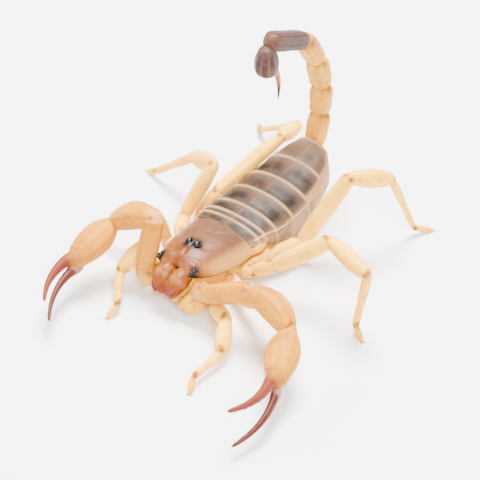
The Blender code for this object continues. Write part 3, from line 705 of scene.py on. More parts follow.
def belly_plate(number):
    start, stop = SEGMENT_ENDS[number - 1] - 0.2, SEGMENT_ENDS[number] + 0.15
    along = np.linspace(0, 1, BELLY_ROWS)[:, None]
    across = np.linspace(-1, 1, BELLY_COLUMNS)[None, :]
    angle = -pi / 2 + across * BELLY_REACH
    y = start + (stop - start) * along + 0.15 * across ** 2 * along
    slit = rise(np.abs(across), along, (0.55, 0.55), (0.10, 0.05)) * (number < LAST_PLATE)
    out = -0.12 + 0.14 * along + 0.06 * hump(along, 1.0, 0.06) - 0.12 * slit
    plate = Shape()
    plate.plate(trunk_point(y, angle, out), trunk_point(y, angle, out - BELLY_THICKNESS),
                spot=slit, tint=hump(along, 1.0, 0.10))
    plate.write(f"belly_plate_{number}", BELLY_FINISH, [f"mesosoma_{number}"])


for number in range(FIRST_BELLY_PLATE, LAST_PLATE + 1):
    belly_plate(number)

# %% [markdown]
# Limbs. A scorpion's leg is a row of stiff tubes, each narrow where it starts and wide where it
# ends, with a ring of soft skin at each joint and a small dark hinge on either side. Separate
# tubes would leave a seam at each joint, so a limb is lofted in one go along its joints: the rings
# shrink to a neck, turn there in small steps, and swell again.

# %% A chain of joints
STRAIGHT, UPRIGHT = 0.02, 0.15        # bends smaller than these have no axis of their own


def turned(up, old, new):
    """Carries the upward direction round a bend."""
    return np.array(Vector(old).rotation_difference(Vector(new)) @ Vector(up))


class Limb:
    """A chain of joints, with the forward and the upward direction of each article."""

    def __init__(self, joints, up):
        self.joints = [np.asarray(j, float) for j in joints]
        self.dirs = [unit(b - a) for a, b in zip(self.joints, self.joints[1:])]
        up = np.asarray(up, float)
        self.ups = [unit(up - self.dirs[0] * up.dot(self.dirs[0]))]
        for old, new in zip(self.dirs, self.dirs[1:]):
            self.ups.append(turned(self.ups[-1], old, new))

    def bent(self, k):
        """Whether the limb turns between article k and the next one."""
        return np.linalg.norm(self.dirs[k + 1] - self.dirs[k]) >= STRAIGHT

    def hinges(self):
        """Number, place and axis of each joint where the limb turns."""
        for k in range(1, len(self.dirs)):
            if self.bent(k - 1):
                axis = np.cross(self.dirs[k - 1], self.dirs[k])
                if np.linalg.norm(axis) < UPRIGHT:
                    axis = np.cross(self.dirs[k], self.ups[k])
                yield k, self.joints[k], unit(axis)


# %% [markdown]
# The rings lie closer together towards both ends of an article, because the shape turns faster
# there. Low ridges run along the stiff parts; on the upper arm they break up into small beads.

# %% Rings of a limb
RING_STEP, FEWEST_RINGS, NECK = 0.16, 8, 0.74
EVEN_SHARE, BUNCHED_SHARE = 0.65, 0.35
START_ROUND, END_ROUND, SOFT_REACH, BEAD_STEP = 0.75, 0.40, 0.22, 0.42
FAR = 9                               # stands for no joint at this end


def ridged(angle, ridges):
    """Swelling of a ring where ridges run: (angle in degrees, height, width in degrees)."""
    swell = np.zeros_like(angle)
    for where, height, width in ridges:
        away = (np.degrees(angle) - where + 180) % 360 - 180
        swell += height * np.exp(-(away / width) ** 2)
    return swell


def article_rings(limb, k, article, last_one, sides):
    """Rings of one stiff article, and how soft its skin is at each."""
    start, stop, along, up = limb.joints[k], limb.joints[k + 1], limb.dirs[k], limb.ups[k]
    side, length = np.cross(along, up), np.linalg.norm(stop - start)
    angle, c, s = superellipse(sides, article.get("power", 2.1))
    count = max(int(length / RING_STEP), FEWEST_RINGS)
    places = (1 - np.cos(pi * (np.arange(count) + 0.5) / count)) / 2 * BUNCHED_SHARE
    places += (np.arange(count) + 0.5) / count * EVEN_SHARE
    swell, arch = ridged(angle, article.get("ridges", ())), np.asarray(article.get("arch", (0, 0, 0)))
    for t, (width, height) in zip(places, smooth_table(article["profile"], places)):
        first, last = t * length, (1 - t) * length
        squeeze = NECK + (1 - NECK) * rounding(first, START_ROUND) if k > 0 else 1.0
        squeeze *= NECK + (1 - NECK) * rounding(last, END_ROUND)
        ripple = 1 + article.get("beads", 0.0) * cos(2 * pi * t * length / BEAD_STEP)
        grow = squeeze * (1 + swell * min(first, last, 1.0) * ripple)
        middle = start + along * t * length + arch * 4 * t * (1 - t)
        to_joint = min(first if k else FAR, FAR if last_one else last)
        softness = np.exp(-(to_joint / SOFT_REACH) ** 2)
        yield ring_at(middle, c * grow * width, side, s * grow * height, up), softness


def joint_rings(limb, k, article, sides):
    """Rings that carry the neck round the joint behind an article."""
    along, ahead, up = limb.dirs[k], limb.dirs[k + 1], limb.ups[k]
    _, c, s = superellipse(sides, article.get("power", 2.1))
    width, height = article["profile"][-1][1:]
    for t in (0.25, 0.5, 0.75) if limb.bent(k) else (0.5,):
        way = unit((1 - t) * along + t * ahead)
        lift = turned(up, along, way)
        across = np.cross(way, lift)
        yield ring_at(limb.joints[k + 1], c * NECK * width, across, s * NECK * height, lift), 1.0


def limb_rings(limb, articles, sides=28):
    """All rings of a limb, with how soft the skin is at each."""
    made = []
    for k, article in enumerate(articles):
        last_one = k == len(articles) - 1
        made += article_rings(limb, k, article, last_one, sides)
        made += [] if last_one else joint_rings(limb, k, article, sides)
    rings, softness = zip(*made)
    return np.array(rings), np.array(softness)[:, None]


def hinge_spots(limb, articles, rings, reach=0.40):
    """How near each point lies to a dark hinge."""
    spots = np.zeros(rings.shape[:2])
    for k, joint, axis in limb.hinges():
        width, height = articles[k - 1]["profile"][-1][1:]
        lift = unit(limb.ups[k - 1] + limb.ups[k])
        for place in (joint + axis * width * 0.9 + lift * 0.25 * height,
                      joint - axis * width * 0.9 + lift * 0.25 * height,
                      joint - limb.dirs[k - 1] * 0.5 + lift * height * 0.95):
            spots = np.maximum(spots, near(rings, place, reach))
    return 1 - (1 - spots) ** 2


# %% [markdown]
# A leg has seven parts: a root and a short ring at the body, a thigh, a knee part, a shank, and a
# foot of two. Their lengths and headings are the solids'. The last joints are led down to set
# levels, so that every foot stands on the floor.

# %% Shape of a leg
LEG_RIDGES = ((62, 0.06, 9), (118, 0.06, 9), (-62, 0.05, 9), (-118, 0.05, 9))
ANKLE_SHARE, HIND_SLIMNESS, FLOOR_GAP = 0.42, 0.84, 0.02
TROCHANTER = ((0, 0.95, 1.0), (0.5, 1.1, 1.15), (1, 0.95, 1.05))
SHANK = ((0, 0.62, 0.68), (0.3, 0.72, 0.78), (0.7, 0.64, 0.70), (1, 0.57, 0.62))
METATARSUS = ((0, 0.52, 0.56), (0.3, 0.56, 0.61), (0.8, 0.52, 0.57), (1, 0.50, 0.54))
FOOT = ((0, 0.46, 0.48), (0.3, 0.50, 0.52), (0.8, 0.42, 0.46), (1, 0.27, 0.30))


def leg_joints(side, number):
    turns, lengths = LEG_TURNS[(side, number)], LEG_LENGTHS[number]
    joints = [np.array((x * side, y, z)) for x, y, z in (COXA_ROOTS[number], HIPS[number])]
    for length, (heading, climb) in zip(lengths[:3], turns[:3]):
        joints.append(joints[-1] + direction(heading, climb) * length)
    for length, heading, level in zip(lengths[3:], turns[3:], (ANKLE_LEVEL, TOE_LEVEL)):
        climb = degrees(asin((level - joints[-1][2]) / length))
        joints.append(joints[-1] + direction(heading, climb) * length)
    ankle = joints[-2] + (joints[-3] - joints[-2]) * ANKLE_SHARE
    return joints[:5] + [ankle] + joints[5:]


def spindle(thick, start, middle, end, flat=1.0):
    """A profile that swells from a narrow start to a thick middle."""
    places = ((0.0, start), (0.25, (start + middle * 2) / 3), (0.55, middle),
              (0.85, (middle + end) / 2), (1.0, end))
    return [(place, thick * size * flat, thick * size) for place, size in places]


def scaled(profile, thick):
    return [(t, w * thick, h * thick) for t, w, h in profile]


def leg_articles(number):
    thick = LEG_THICKNESS[number]
    slim = thick * (HIND_SLIMNESS if number == 4 else 1.0)
    coxa = [(t, COXA_RADIUS * thick, COXA_RADIUS * thick) for t in (0, 1)]
    return [{"profile": coxa}, {"profile": scaled(TROCHANTER, thick)},
            {"profile": spindle(1.38 * thick, 0.78, 1.0, 0.80, 0.88), "ridges": LEG_RIDGES, "power": 2.2},
            {"profile": spindle(1.42 * thick, 0.66, 1.02, 0.66, 0.9), "ridges": LEG_RIDGES, "power": 2.2},
            {"profile": scaled(SHANK, slim), "ridges": LEG_RIDGES},
            {"profile": scaled(METATARSUS, slim)}, {"profile": scaled(FOOT, thick)}]


# %% [markdown]
# Each toe ends in two hooked claws, with two spurs at the last joint. They are small lofts round an
# arc, part of the leg's mesh, because they never move apart from it.

# %% Legs
LEG_FINISH = shell(
    "leg_cream", (0.90, 0.43, 0.018), (0.97, 0.52, 0.038), (0.99, 0.64, 0.13), specks=0.25,
    painted=(("tint", (0.66, 0.24, 0.006), 0.6), ("membrane", SOFT_SKIN, 0.35), ("spot", RUST_SPOT, 0.9)))
CLAW_RINGS, CLAW_SIDES, CLAW_TIP = 9, 8, 0.015
UP = np.array((0, 0, 1.0))


def claw(shape, base, along, length, radius, curl):
    """A thin claw that hooks downwards."""
    side, a = np.cross(along, UP), 2 * pi * np.arange(CLAW_SIDES) / CLAW_SIDES
    rings = []
    for t in np.linspace(0, 1, CLAW_RINGS):
        turn = curl * t
        place = base + length * ((sin(turn) / curl) * along - ((1 - cos(turn)) / curl) * UP)
        lift = np.cross(side, cos(turn) * along - sin(turn) * UP)
        size = radius * (1 - t) + CLAW_TIP
        rings.append(ring_at(place, np.cos(a) * size, side, np.sin(a) * size, lift))
    shape.loft(rings, spot=0.75, tint=0.4)


def leg(side, number):
    name, articles = f"leg_{SIDE_NAMES[side]}_{number}", leg_articles(number)
    limb = Limb(leg_joints(side, number), UP)
    rings, softness = limb_rings(limb, articles)
    rings[:, :, 2] = np.maximum(rings[:, :, 2], FLOOR_GAP)
    fade = np.linspace(0, 1, len(rings))[:, None]
    shape = Shape()
    shape.loft(rings, membrane=softness, spot=hinge_spots(limb, articles, rings),
               tint=np.clip(fade * 3 - 2.2, 0, 0.6) + 0.25 * hump(fade, 0.0, 0.12))
    toe, along, spur = limb.joints[-1], limb.dirs[-1], limb.joints[-2] + np.array((0, 0, -0.1))
    sideways = unit(np.cross(along, UP))
    for way in (-1, 1):
        ahead = unit(along + sideways * way * 0.55 + UP * 0.35)
        claw(shape, toe + sideways * way * 0.10 + UP * 0.10, ahead, 0.85 * LEG_THICKNESS[number], 0.085, 0.8)
    for way in (-1, 1):
        claw(shape, spur, unit(along + sideways * way * 0.9 - UP * 0.2), 0.55, 0.07, 0.5)
    shape.stay_above(FLOOR_GAP)
    shape.write(name, LEG_FINISH, [f"{name}_upper", f"{name}_patella", f"{name}_lower"])


for side in (LEFT, RIGHT):
    for number in (1, 2, 3, 4):
        leg(side, number)

# %% [markdown]
# Fingers. A pincer's two fingers are long, thin and bowed, so that their tips cross in front. One
# smooth line for each, with a size that shrinks along it, gives the finger itself and later also
# the row of grains on its biting edge.

# %% Lines and sizes of the fingers
def level_frame(along):
    """The level direction across a path, and the one upwards from it."""
    across = unit(np.array((along[1], -along[0], 0)))
    return across, np.cross(across, along)


def palp_joints(side):
    pose = PALPS[side]
    joints = [np.array((PALP_ROOT[0] * side, *PALP_ROOT[1:])), np.asarray(pose["trochanter"], float)]
    for length, (heading, climb) in zip(PALP_LENGTHS, pose["turns"]):
        joints.append(joints[-1] + direction(heading, climb) * length)
    return joints


def finger_line(side, which, places):
    """Centres along a finger, which bows outwards on its way to the tip."""
    offset, length, heading, climb = PALPS[side][which]
    base, along = palp_joints(side)[-1] + np.asarray(offset), direction(heading, climb)
    places = np.asarray(places)[:, None]
    return base + along * length * places + np.array((side, 0, 0)) * 4 * FINGER_BOW * places * (1 - places)


def finger_size(which, t):
    size = FINGER_BASES[which]
    return size + (FINGER_TIP - size) * np.asarray(t) ** 0.8


# %% [markdown]
# The hand is a swollen spindle with fine ridges that runs on into the fixed finger. Between the
# hand's end and the finger's start a smooth curve leads from one direction to the other, while the
# size eases from one to the other too.

# %% Hand and fixed finger
PALP_SIDES, HAND_RINGS, BRIDGE_RINGS, FINGER_RINGS = 36, 54, 14, 56
HAND_PROFILE = (              # place from wrist to hand's end, half width, half height
    (0.0, 1.0, 1.0), (0.04, 1.12, 1.12), (0.12, 1.60, 1.52), (0.28, 2.28, 2.08), (0.5, 2.52, 2.26),
    (0.7, 2.28, 2.06), (0.84, 1.90, 1.78), (0.93, 1.6, 1.5), (1.0, 1.35, 1.3))
HAND_RIDGES = ((90, 0.045, 6), (55, 0.04, 6), (125, 0.04, 6), (20, 0.035, 6), (160, 0.035, 6))
TIP_ROUND = np.sqrt(np.array((0.85, 0.6, 0.3, 0.05)))[:, None]


def hand_path(side, wrist, along, length):
    """Middles and sizes of the rings from the wrist to the finger's tip."""
    in_hand, in_finger = np.linspace(0.01, 0.86, HAND_RINGS), np.linspace(0.12, 0.985, FINGER_RINGS)
    hand, finger = wrist + np.outer(in_hand, along * length), finger_line(side, "fixed", in_finger)
    gap = np.linalg.norm(finger[0] - hand[-1])
    steps = np.linspace(0, 1, BRIDGE_RINGS + 2)[1:-1, None]
    bridge = smooth_steps(steps, hand[-1], along * gap, finger[0], unit(finger[1] - finger[0]) * gap)
    hand_sizes = smooth_table(HAND_PROFILE, in_hand)
    finger_sizes = np.outer(finger_size("fixed", in_finger), (0.94, 1.0))
    ease = steps ** 2 * (3 - 2 * steps) * 0.6 + steps * 0.4
    sizes = np.concatenate((hand_sizes, hand_sizes[-1] * (1 - ease) + finger_sizes[0] * ease, finger_sizes))
    sizes[-4:] *= TIP_ROUND
    return np.concatenate((hand, bridge, finger)), sizes


def hand_rings(side, wrist, along, length):
    """Rings of hand and fixed finger, how red each is, and the lines on them."""
    line, sizes = hand_path(side, wrist, along, length)
    run = np.concatenate(([0], np.cumsum(np.linalg.norm(np.diff(line, axis=0), axis=1))))
    angle, c, s = superellipse(PALP_SIDES, 2.2)
    rings, redness, lines = [], [], []
    for middle, ahead, (width, height), gone in zip(line, np.gradient(line, run, axis=0), sizes, run):
        t = gone / length
        across, up = level_frame(unit(ahead))
        grow = 1 + ridged(angle, HAND_RIDGES) * np.clip(t * 4, 0, 1) * np.clip((1 - t) * 5, 0, 1)
        rings.append(ring_at(middle, c * grow * width, across, s * grow * height, up))
        redness.append([slope(t, 0.80, 0.34) ** 1.3])
        lines.append(np.clip(ridged(angle, [(where, 1, 7) for where, _, _ in HAND_RIDGES]), 0, 1)
                     * np.clip(t * 5, 0, 1) * np.clip((1 - t) * 5, 0, 1) * 0.6)
    return np.array(rings), np.array(redness), np.array(lines)


# %% [markdown]
# The arm: a rounded first piece, an upper arm and a thicker, bowed forearm. Arm, hand and fixed
# finger are one lofted skin, because on the animal they share one colour and flow into each other,
# while the red movable finger is a piece of its own.

# %% Arms
PALP_FINISH = shell(
    "pincer_peach", (0.46, 0.160, 0.001), (0.55, 0.212, 0.003), (0.66, 0.31, 0.02), specks=0.25,
    painted=(("across", (0.32, 0.085, 0.002), 0.65), ("membrane", SOFT_SKIN, 0.45),
             ("spot", RUST_SPOT, 0.7), ("tint", (0.150, 0.026, 0.012), 1.0)))
ARM_RIDGES = ((48, 0.05, 7), (90, 0.03, 7), (132, 0.05, 7), (-48, 0.05, 7), (-132, 0.05, 7))
ARM_ROOT = ((0, 0.62, 0.62), (0.4, 0.92, 0.92), (0.75, 1.02, 1.0), (1, 0.9, 0.9))
WRIST = {"profile": [(0, 1, 1), (1, 1.2, 1.2)]}
ARM_PARTS = ("trochanter", "femur", "patella", "hand")


def pincer(side):
    word, (upper, fore) = SIDE_NAMES[side], PALP_THICKNESS
    joints = palp_joints(side)
    limb = Limb(joints, UP)
    articles = [
        {"profile": scaled(ARM_ROOT, TROCHANTER_RADIUS)},
        {"profile": spindle(upper, 0.74, 1.02, 0.92), "ridges": ARM_RIDGES, "power": 2.5, "beads": 0.3},
        {"profile": spindle(fore, 0.70, 1.0, 0.66), "ridges": ARM_RIDGES, "power": 2.3,
         "arch": unit((0.3 * side, 0.8, 0.5)) * PATELLA_ARCH}]
    arm, softness = limb_rings(limb, articles, PALP_SIDES)
    wrist, along = joints[3], limb.dirs[3]
    hand, redness, hand_lines = hand_rings(side, wrist, along, np.linalg.norm(joints[4] - wrist))
    rings = np.concatenate((arm, hand))

    def joined(on_arm, on_hand):
        return np.concatenate((np.broadcast_to(on_arm, arm.shape[:2]),
                               np.broadcast_to(on_hand, hand.shape[:2])))

    arm_angle = superellipse(PALP_SIDES, 2)[0]
    arm_lines = np.clip(ridged(arm_angle, [(where, 0.7, 8) for where, _, _ in ARM_RIDGES]), 0, 1)
    across, up = level_frame(along)
    wrist_spots = sum(near(rings, wrist + across * 1.0 * way + up * 0.3, 0.35) for way in (-1, 1))
    arm_spots = hinge_spots(limb, articles + [WRIST], arm)
    shape = Shape()
    shape.loft(rings, tint=joined(0, redness), membrane=joined(softness, 0),
               spot=np.maximum(joined(arm_spots, 0), wrist_spots * 0.7),
               across=joined(arm_lines * np.clip(1 - 2 * softness, 0, 1), hand_lines))
    shape.write(f"pincer_{word}", PALP_FINISH, [f"pedipalp_{word}_{part}" for part in ARM_PARTS],
                slot=f"pedipalp_{word}_hand")


# %% [markdown]
# The movable finger starts in a thick knuckle of paler skin, sunk into the hand, and thins out to
# a dark point. It is a loft along its own line, like the fixed finger, but with both ends closed.

# %% Movable fingers
FINGER_FINISH = shell(
    "finger_red", (0.070, 0.012, 0.008), (0.095, 0.018, 0.012), (0.14, 0.034, 0.024), 0.38, coat=0.05,
    painted=(("membrane", (0.36, 0.15, 0.10), 0.9), ("tint", (0.045, 0.006, 0.005), 0.8)))


def movable_finger(side):
    word = SIDE_NAMES[side]
    places = np.concatenate((np.linspace(-0.16, 0.06, 16), np.linspace(0.08, 0.985, 60)))
    across, up = level_frame(direction(*PALPS[side]["movable"][2:]))
    _, c, s = superellipse(28, 2.1)
    rings = []
    for t, middle in zip(places, finger_line(side, "movable", places)):
        size = finger_size("movable", max(t, 0))
        size *= 1 + 0.28 * hump(t, -0.03, 0.09) - 0.10 * hump(t, 0.035, 0.014)
        size *= sqrt(np.clip((t + 0.17) / 0.05, 0.05, 1)) * sqrt(np.clip((1 - t) / 0.06, 0.02, 1))
        rings.append(ring_at(middle, c * size * 0.92, across, s * size, up))
    shape = Shape()
    shape.loft(rings, tint=0.9 * slope(places, 0.93, 0.07)[:, None],
               membrane=np.clip((0.06 - places) / 0.05, 0, 1)[:, None])
    shape.write(f"movable_finger_{word}", FINGER_FINISH, [f"pedipalp_{word}_movable_finger"])


for side in (LEFT, RIGHT):
    pincer(side)
    movable_finger(side)

# %% [markdown]
# The biting edges. Each finger carries a row of tiny hard grains that grip prey. They repeat along
# a line, so Geometry Nodes place them: loose points go in, each with a direction stored as "aim",
# a small blunt cone stands on every point, turned along its aim, and the result is made real, so
# that it exports as a plain mesh. The same helpers serve the bristles further down.

# %% Things that stand on points, by Geometry Nodes
def turned_to(tree, vector):
    """A rotation whose upward axis follows a vector."""
    return node(tree, "FunctionNodeAlignRotationToVector", {"axis": "Z"}, Vector=vector).outputs["Rotation"]


def cone(tree, corners, radius, top, height):
    made = node(tree, "GeometryNodeMeshCone", {"fill_type": "NGON"}, Vertices=corners, Depth=height,
                **{"Radius Top": top, "Radius Bottom": radius})
    return made.outputs["Mesh"]


def stand(tree, points, thorn, rotation, scale, finish):
    """Stands a copy of a mesh on every point and makes the result real."""
    put = node(tree, "GeometryNodeInstanceOnPoints", Points=points, Instance=thorn,
               Rotation=rotation, Scale=scale)
    real = node(tree, "GeometryNodeRealizeInstances", Geometry=put.outputs["Instances"])
    return node(tree, "GeometryNodeSetMaterial", Geometry=real.outputs["Geometry"],
                Material=finish).outputs["Geometry"]


def run_tree(name, tree, mesh, settings, slot):
    """Runs a tree on a mesh and keeps its result as a plain mesh."""
    carrier = bpy.data.objects.new(name + "_carrier", mesh)
    bpy.context.collection.objects.link(carrier)
    modifier = carrier.modifiers.new(tree.name, "NODES")
    modifier.node_group = tree
    for item in tree.interface.items_tree:
        if item.in_out == "INPUT" and item.name in settings:
            modifier[item.identifier] = settings[item.name]
    graph = bpy.context.evaluated_depsgraph_get()
    result = bpy.data.meshes.new_from_object(carrier.evaluated_get(graph))
    bpy.data.objects.remove(carrier, do_unlink=True)
    return adopt(name, result, settings["Finish"], slot=slot)


# %% Grains on the fingers
GRAINS_PER_FINGER, GRAIN_SEED, CONE_CORNERS, BLUNTNESS, GRAIN_DEPTH = 40, 7, 7, 0.3, 0.96
GRAIN_SETTINGS = {"Grain radius": 0.00011, "Grain height": 0.00022, "Finish": FINGER_FINISH, "Uneven": 0.6}


def grains_tree():
    tree, given, out = group(
        "grains_on_points", [("Points", "Geometry", None), ("Grain radius", "Float", 0.0001),
                             ("Grain height", "Float", 0.0002), ("Finish", "Material", None),
                             ("Uneven", "Float", 0.3)], [("Grains", "Geometry")], "GeometryNodeTree")
    top = maths(tree, "MULTIPLY", given["Grain radius"], BLUNTNESS)
    grain = cone(tree, CONE_CORNERS, given["Grain radius"], top, given["Grain height"])
    aim = node(tree, "GeometryNodeInputNamedAttribute", {"data_type": "FLOAT_VECTOR"}, Name="aim")
    turn = turned_to(tree, aim.outputs["Attribute"])
    chance = node(tree, "FunctionNodeRandomValue", {"data_type": "FLOAT"}, Seed=GRAIN_SEED).outputs[1]
    uneven = maths(tree, "MULTIPLY", given["Uneven"], maths(tree, "SUBTRACT", chance, 0.5))
    size = maths(tree, "ADD", 1.0, uneven)
    tree.links.new(stand(tree, given["Points"], grain, turn, size, given["Finish"]), out["Grains"])
    return tree


GRAINS_TREE = grains_tree()
for side, word in SIDE_NAMES.items():
    places = np.linspace(0.08, 0.95, GRAINS_PER_FINGER)
    fixed, movable = [finger_line(side, which, places) for which in ("fixed", "movable")]
    towards = np.array([unit(m - f) for f, m in zip(fixed, movable)])
    edges = [line + way * towards * finger_size(which, places)[:, None] * GRAIN_DEPTH
             for line, way, which in ((fixed, 1, "fixed"), (movable, -1, "movable"))]
    loose = bpy.data.meshes.new(f"grain_points_{word}")
    loose.from_pydata(in_frame(np.concatenate(edges)).tolist(), [], [])
    layer = loose.attributes.new("aim", "FLOAT_VECTOR", "POINT")
    layer.data.foreach_set("vector", np.concatenate((towards, -towards)).astype(np.float32).ravel())
    run_tree(f"biting_grains_{word}", GRAINS_TREE, loose, GRAIN_SETTINGS, f"pedipalp_{word}_movable_finger")

# %% [markdown]
# The jaws. Two smooth orange bulbs under the shield's front edge, joined by a fuller inner side
# and ending in dark-red hooks with small teeth. Each is a tube through a few stations, because a
# tube needs only a place and a radius at each and closes itself at both ends.

# %% Tubes
THINNEST = 0.02


def mirrored(stations, side, rearward=0.0):
    """Stations given for the left side, moved to a side and along the body."""
    return [(x * side, y + rearward, z, radius) for x, y, z, radius in stations]


def between(start, end, stations):
    """Stations on a straight line, from the share of the way and the radius of each."""
    return [(*(start * (1 - t) + end * t), radius) for t, radius in stations]


def tube(shape, stations, sides=20, fine=5, **paint):
    """A loft through (x, y, z, radius) stations, smoothed between them, rings square to it."""
    table = [(k, *station) for k, station in enumerate(stations)]
    values = smooth_table(table, np.linspace(0, len(stations) - 1, (len(stations) - 1) * fine + 1))
    centres, radii = values[:, :3], np.maximum(values[:, 3], THINNEST)
    a, rings = 2 * pi * np.arange(sides) / sides, []
    for centre, radius, along in zip(centres, radii, np.gradient(centres, axis=0)):
        along = unit(along)
        side = np.cross(along, UP)
        side = unit(side) if np.linalg.norm(side) > 0.1 else np.array((1.0, 0, 0))
        rings.append(ring_at(centre, np.cos(a) * radius, side, np.sin(a) * radius, np.cross(side, along)))
    length = np.linspace(0, 1, len(rings))[:, None]
    shape.loft(rings, **{k: (v(length) if callable(v) else v) for k, v in paint.items()})


# %% Jaws
JAW_FINISH = shell(
    "jaw_orange", (0.140, 0.028, 0.002), (0.190, 0.046, 0.003), (0.30, 0.10, 0.018), 0.40, glow=0.10,
    coat=0.02, gleam=0.14, bump=0.15, grain=0.2,
    painted=(("membrane", (0.50, 0.25, 0.08), 0.6), ("tint", (0.150, 0.017, 0.004), 1.0)))
JAW_SHIFT = 0.55              # the stations below stand this much too far forward
JAW_BULB = (
    (1.45, -13.3, 5.4, 1.20), (1.47, -14.3, 5.7, 1.52), (1.48, -15.2, 5.65, 1.62),
    (1.43, -16.0, 5.30, 1.52), (1.32, -16.6, 4.85, 1.22), (1.10, -17.05, 4.35, 0.82),
    (0.82, -17.4, 3.9, 0.44), (0.62, -17.6, 3.5, 0.08))
JAW_INNER = ((0.60, -13.8, 5.3, 0.90), (0.58, -15.2, 5.25, 1.10), (0.55, -16.2, 4.75, 1.02),
             (0.50, -17.0, 4.05, 0.74), (0.42, -17.5, 3.48, 0.22))
JAW_HOOK = ((2.25, -16.4, 4.9, 0.48), (2.20, -16.9, 4.6, 0.52), (1.98, -17.3, 4.2, 0.42),
            (1.65, -17.6, 3.8, 0.28), (1.25, -17.75, 3.5, 0.06))
BULB_TEETH = ((0.98, -17.35, 4.0, 0.18), (1.2, -17.3, 4.15, 0.16), (1.4, -17.2, 4.3, 0.14))
HOOK_TEETH = ((1.72, -17.5, 3.95), (1.5, -17.6, 3.75))


def jaw(side):
    word, bulb, hook = SIDE_NAMES[side], Shape(), Shape()
    tube(bulb, mirrored(JAW_BULB, side, JAW_SHIFT), 24, 7, tint=lambda t: slope(t, 0.40, 0.4) ** 1.2,
         membrane=lambda t: hump(t, 0.40, 0.07) * 0.25)
    tube(bulb, mirrored(JAW_INNER, side, JAW_SHIFT), 18, 6, tint=lambda t: slope(t, 0.42, 0.4))
    for x, y, z, size in BULB_TEETH:
        tooth = ((x, y, z + 0.2, size), (x, y - 0.15, z - 0.12, size * 0.6), (x, y - 0.22, z - 0.30, 0.03))
        tube(bulb, mirrored(tooth, side, JAW_SHIFT), 8, 3, tint=1.0)
    bulb.write(f"jaw_{word}", JAW_FINISH, [f"chelicera_{word}"])
    tube(hook, mirrored(JAW_HOOK, side, JAW_SHIFT), 16, 6, tint=lambda t: 0.25 + 0.75 * t)
    for x, y, z in HOOK_TEETH:
        tooth = ((x, y, z + 0.1, 0.13), (x - 0.12, y - 0.02, z - 0.08, 0.08),
                 (x - 0.2, y - 0.04, z - 0.18, 0.02))
        tube(hook, mirrored(tooth, side, JAW_SHIFT), 8, 3, tint=1.0)
    hook.write(f"jaw_hook_{word}", JAW_FINISH, [f"chelicera_finger_{word}"])


for side in (LEFT, RIGHT):
    jaw(side)

# %% [markdown]
# The underside of the head part. The first leg articles, the coxae, are rooted here and meet in
# the middle round a small breastplate, and the front two pairs send lobes forward under the jaws.
# The block is a loft of level rings, and each coxa and lobe is a tube laid on it. The tubes sink
# into the block, so the whole piece reads as one skin without being joined by hand.

# %% Block of the underside
COXA_FINISH = shell(
    "coxa_cream", (0.60, 0.25, 0.006), (0.74, 0.35, 0.014), (0.88, 0.50, 0.06), specks=0.9, bump=0.5,
    patches=500.0, painted=(("tint", (0.56, 0.20, 0.006), 0.6), ("spot", RUST_SPOT, 0.9)))
BLOCK_STATIONS, BLOCK_INSET, BLOCK_FLOOR = 40, (0.35, 0.45), PROSOMA_FLOOR + 0.4
WAVE_HEIGHT, WAVE_START, WAVE_LENGTH = 0.035, -10.9, 3.3     # one swelling for each coxa
REAR_BLOCK = ((-3.0, 3.0), (-2.0, 3.3), (-0.6, 2.9), (0.2, 2.0))
BREASTPLATE = ((-6.2, 0.15), (-5.4, 0.65), (-4.2, 0.95), (-3.3, 0.9), (-3.0, 0.4))


def level_loft(shape, stations, sides, power, **paint):
    """A loft of upright rings along y: (y, level, half width, half height) at each station."""
    _, c, s = superellipse(sides, power)
    shape.loft([np.stack((half_width * c, np.full(sides, y), z + half_height * s), axis=-1)
                for y, z, half_width, half_height in stations], **paint)


under, stations = Shape(), []
for y in np.linspace(-14.4, -2.5, BLOCK_STATIONS):
    half_width, edge, _ = smooth_table(CARAPACE, y)[0]
    top, width = edge - BLOCK_INSET[1], half_width - BLOCK_INSET[0]
    width *= 1 + WAVE_HEIGHT * cos(2 * pi * (y - WAVE_START) / WAVE_LENGTH)
    stations.append((y, (top + BLOCK_FLOOR) / 2, width, (top - BLOCK_FLOOR) / 2))
level_loft(under, stations, 48, 3.0, tint=0.25)
level_loft(under, [(y, 2.25, width, 0.95) for y, width in REAR_BLOCK], 32, 2.8)

# %% Coxae, lobes and skin folds
COXA_STARTS = {2: (0.9, -9.4), 3: (1.0, -6.6), 4: (1.0, -3.9)}
COXA_RADII = ((0, 0.75), (0.3, 1.0), (0.7, 1.1), (1, 1.1))
UNDER_LOBES = (((0.75, -16.0), (3.9, -11.4), 0.8), ((1.9, -15.9), (4.6, -12.3), 0.85))
ARM_LOBES = {
    LEFT: (((2.6, -16.5, 2.2, 0.4), (3.3, -15.9, 2.6, 0.9), (4.1, -14.3, 3.6, 1.25), (4.5, -12.8, 4.3, 1.2)),
           ((3.4, -16.2, 2.2, 0.5), (4.6, -15.9, 2.5, 0.95), (5.3, -14.9, 3.0, 1.1),
            (5.0, -13.2, 3.6, 1.1))),
    RIGHT: (((-2.0, -16.0, 2.2, 0.4), (-2.6, -15.4, 2.6, 0.8), (-3.9, -14.3, 3.6, 1.2),
             (-4.5, -12.8, 4.3, 1.2)),
            ((-2.6, -14.6, 2.4, 0.5), (-3.8, -14.5, 2.5, 0.85), (-5.4, -14.8, 2.8, 1.1),
             (-6.4, -14.4, 3.6, 1.1), (-6.2, -13.4, 4.2, 0.9)))}
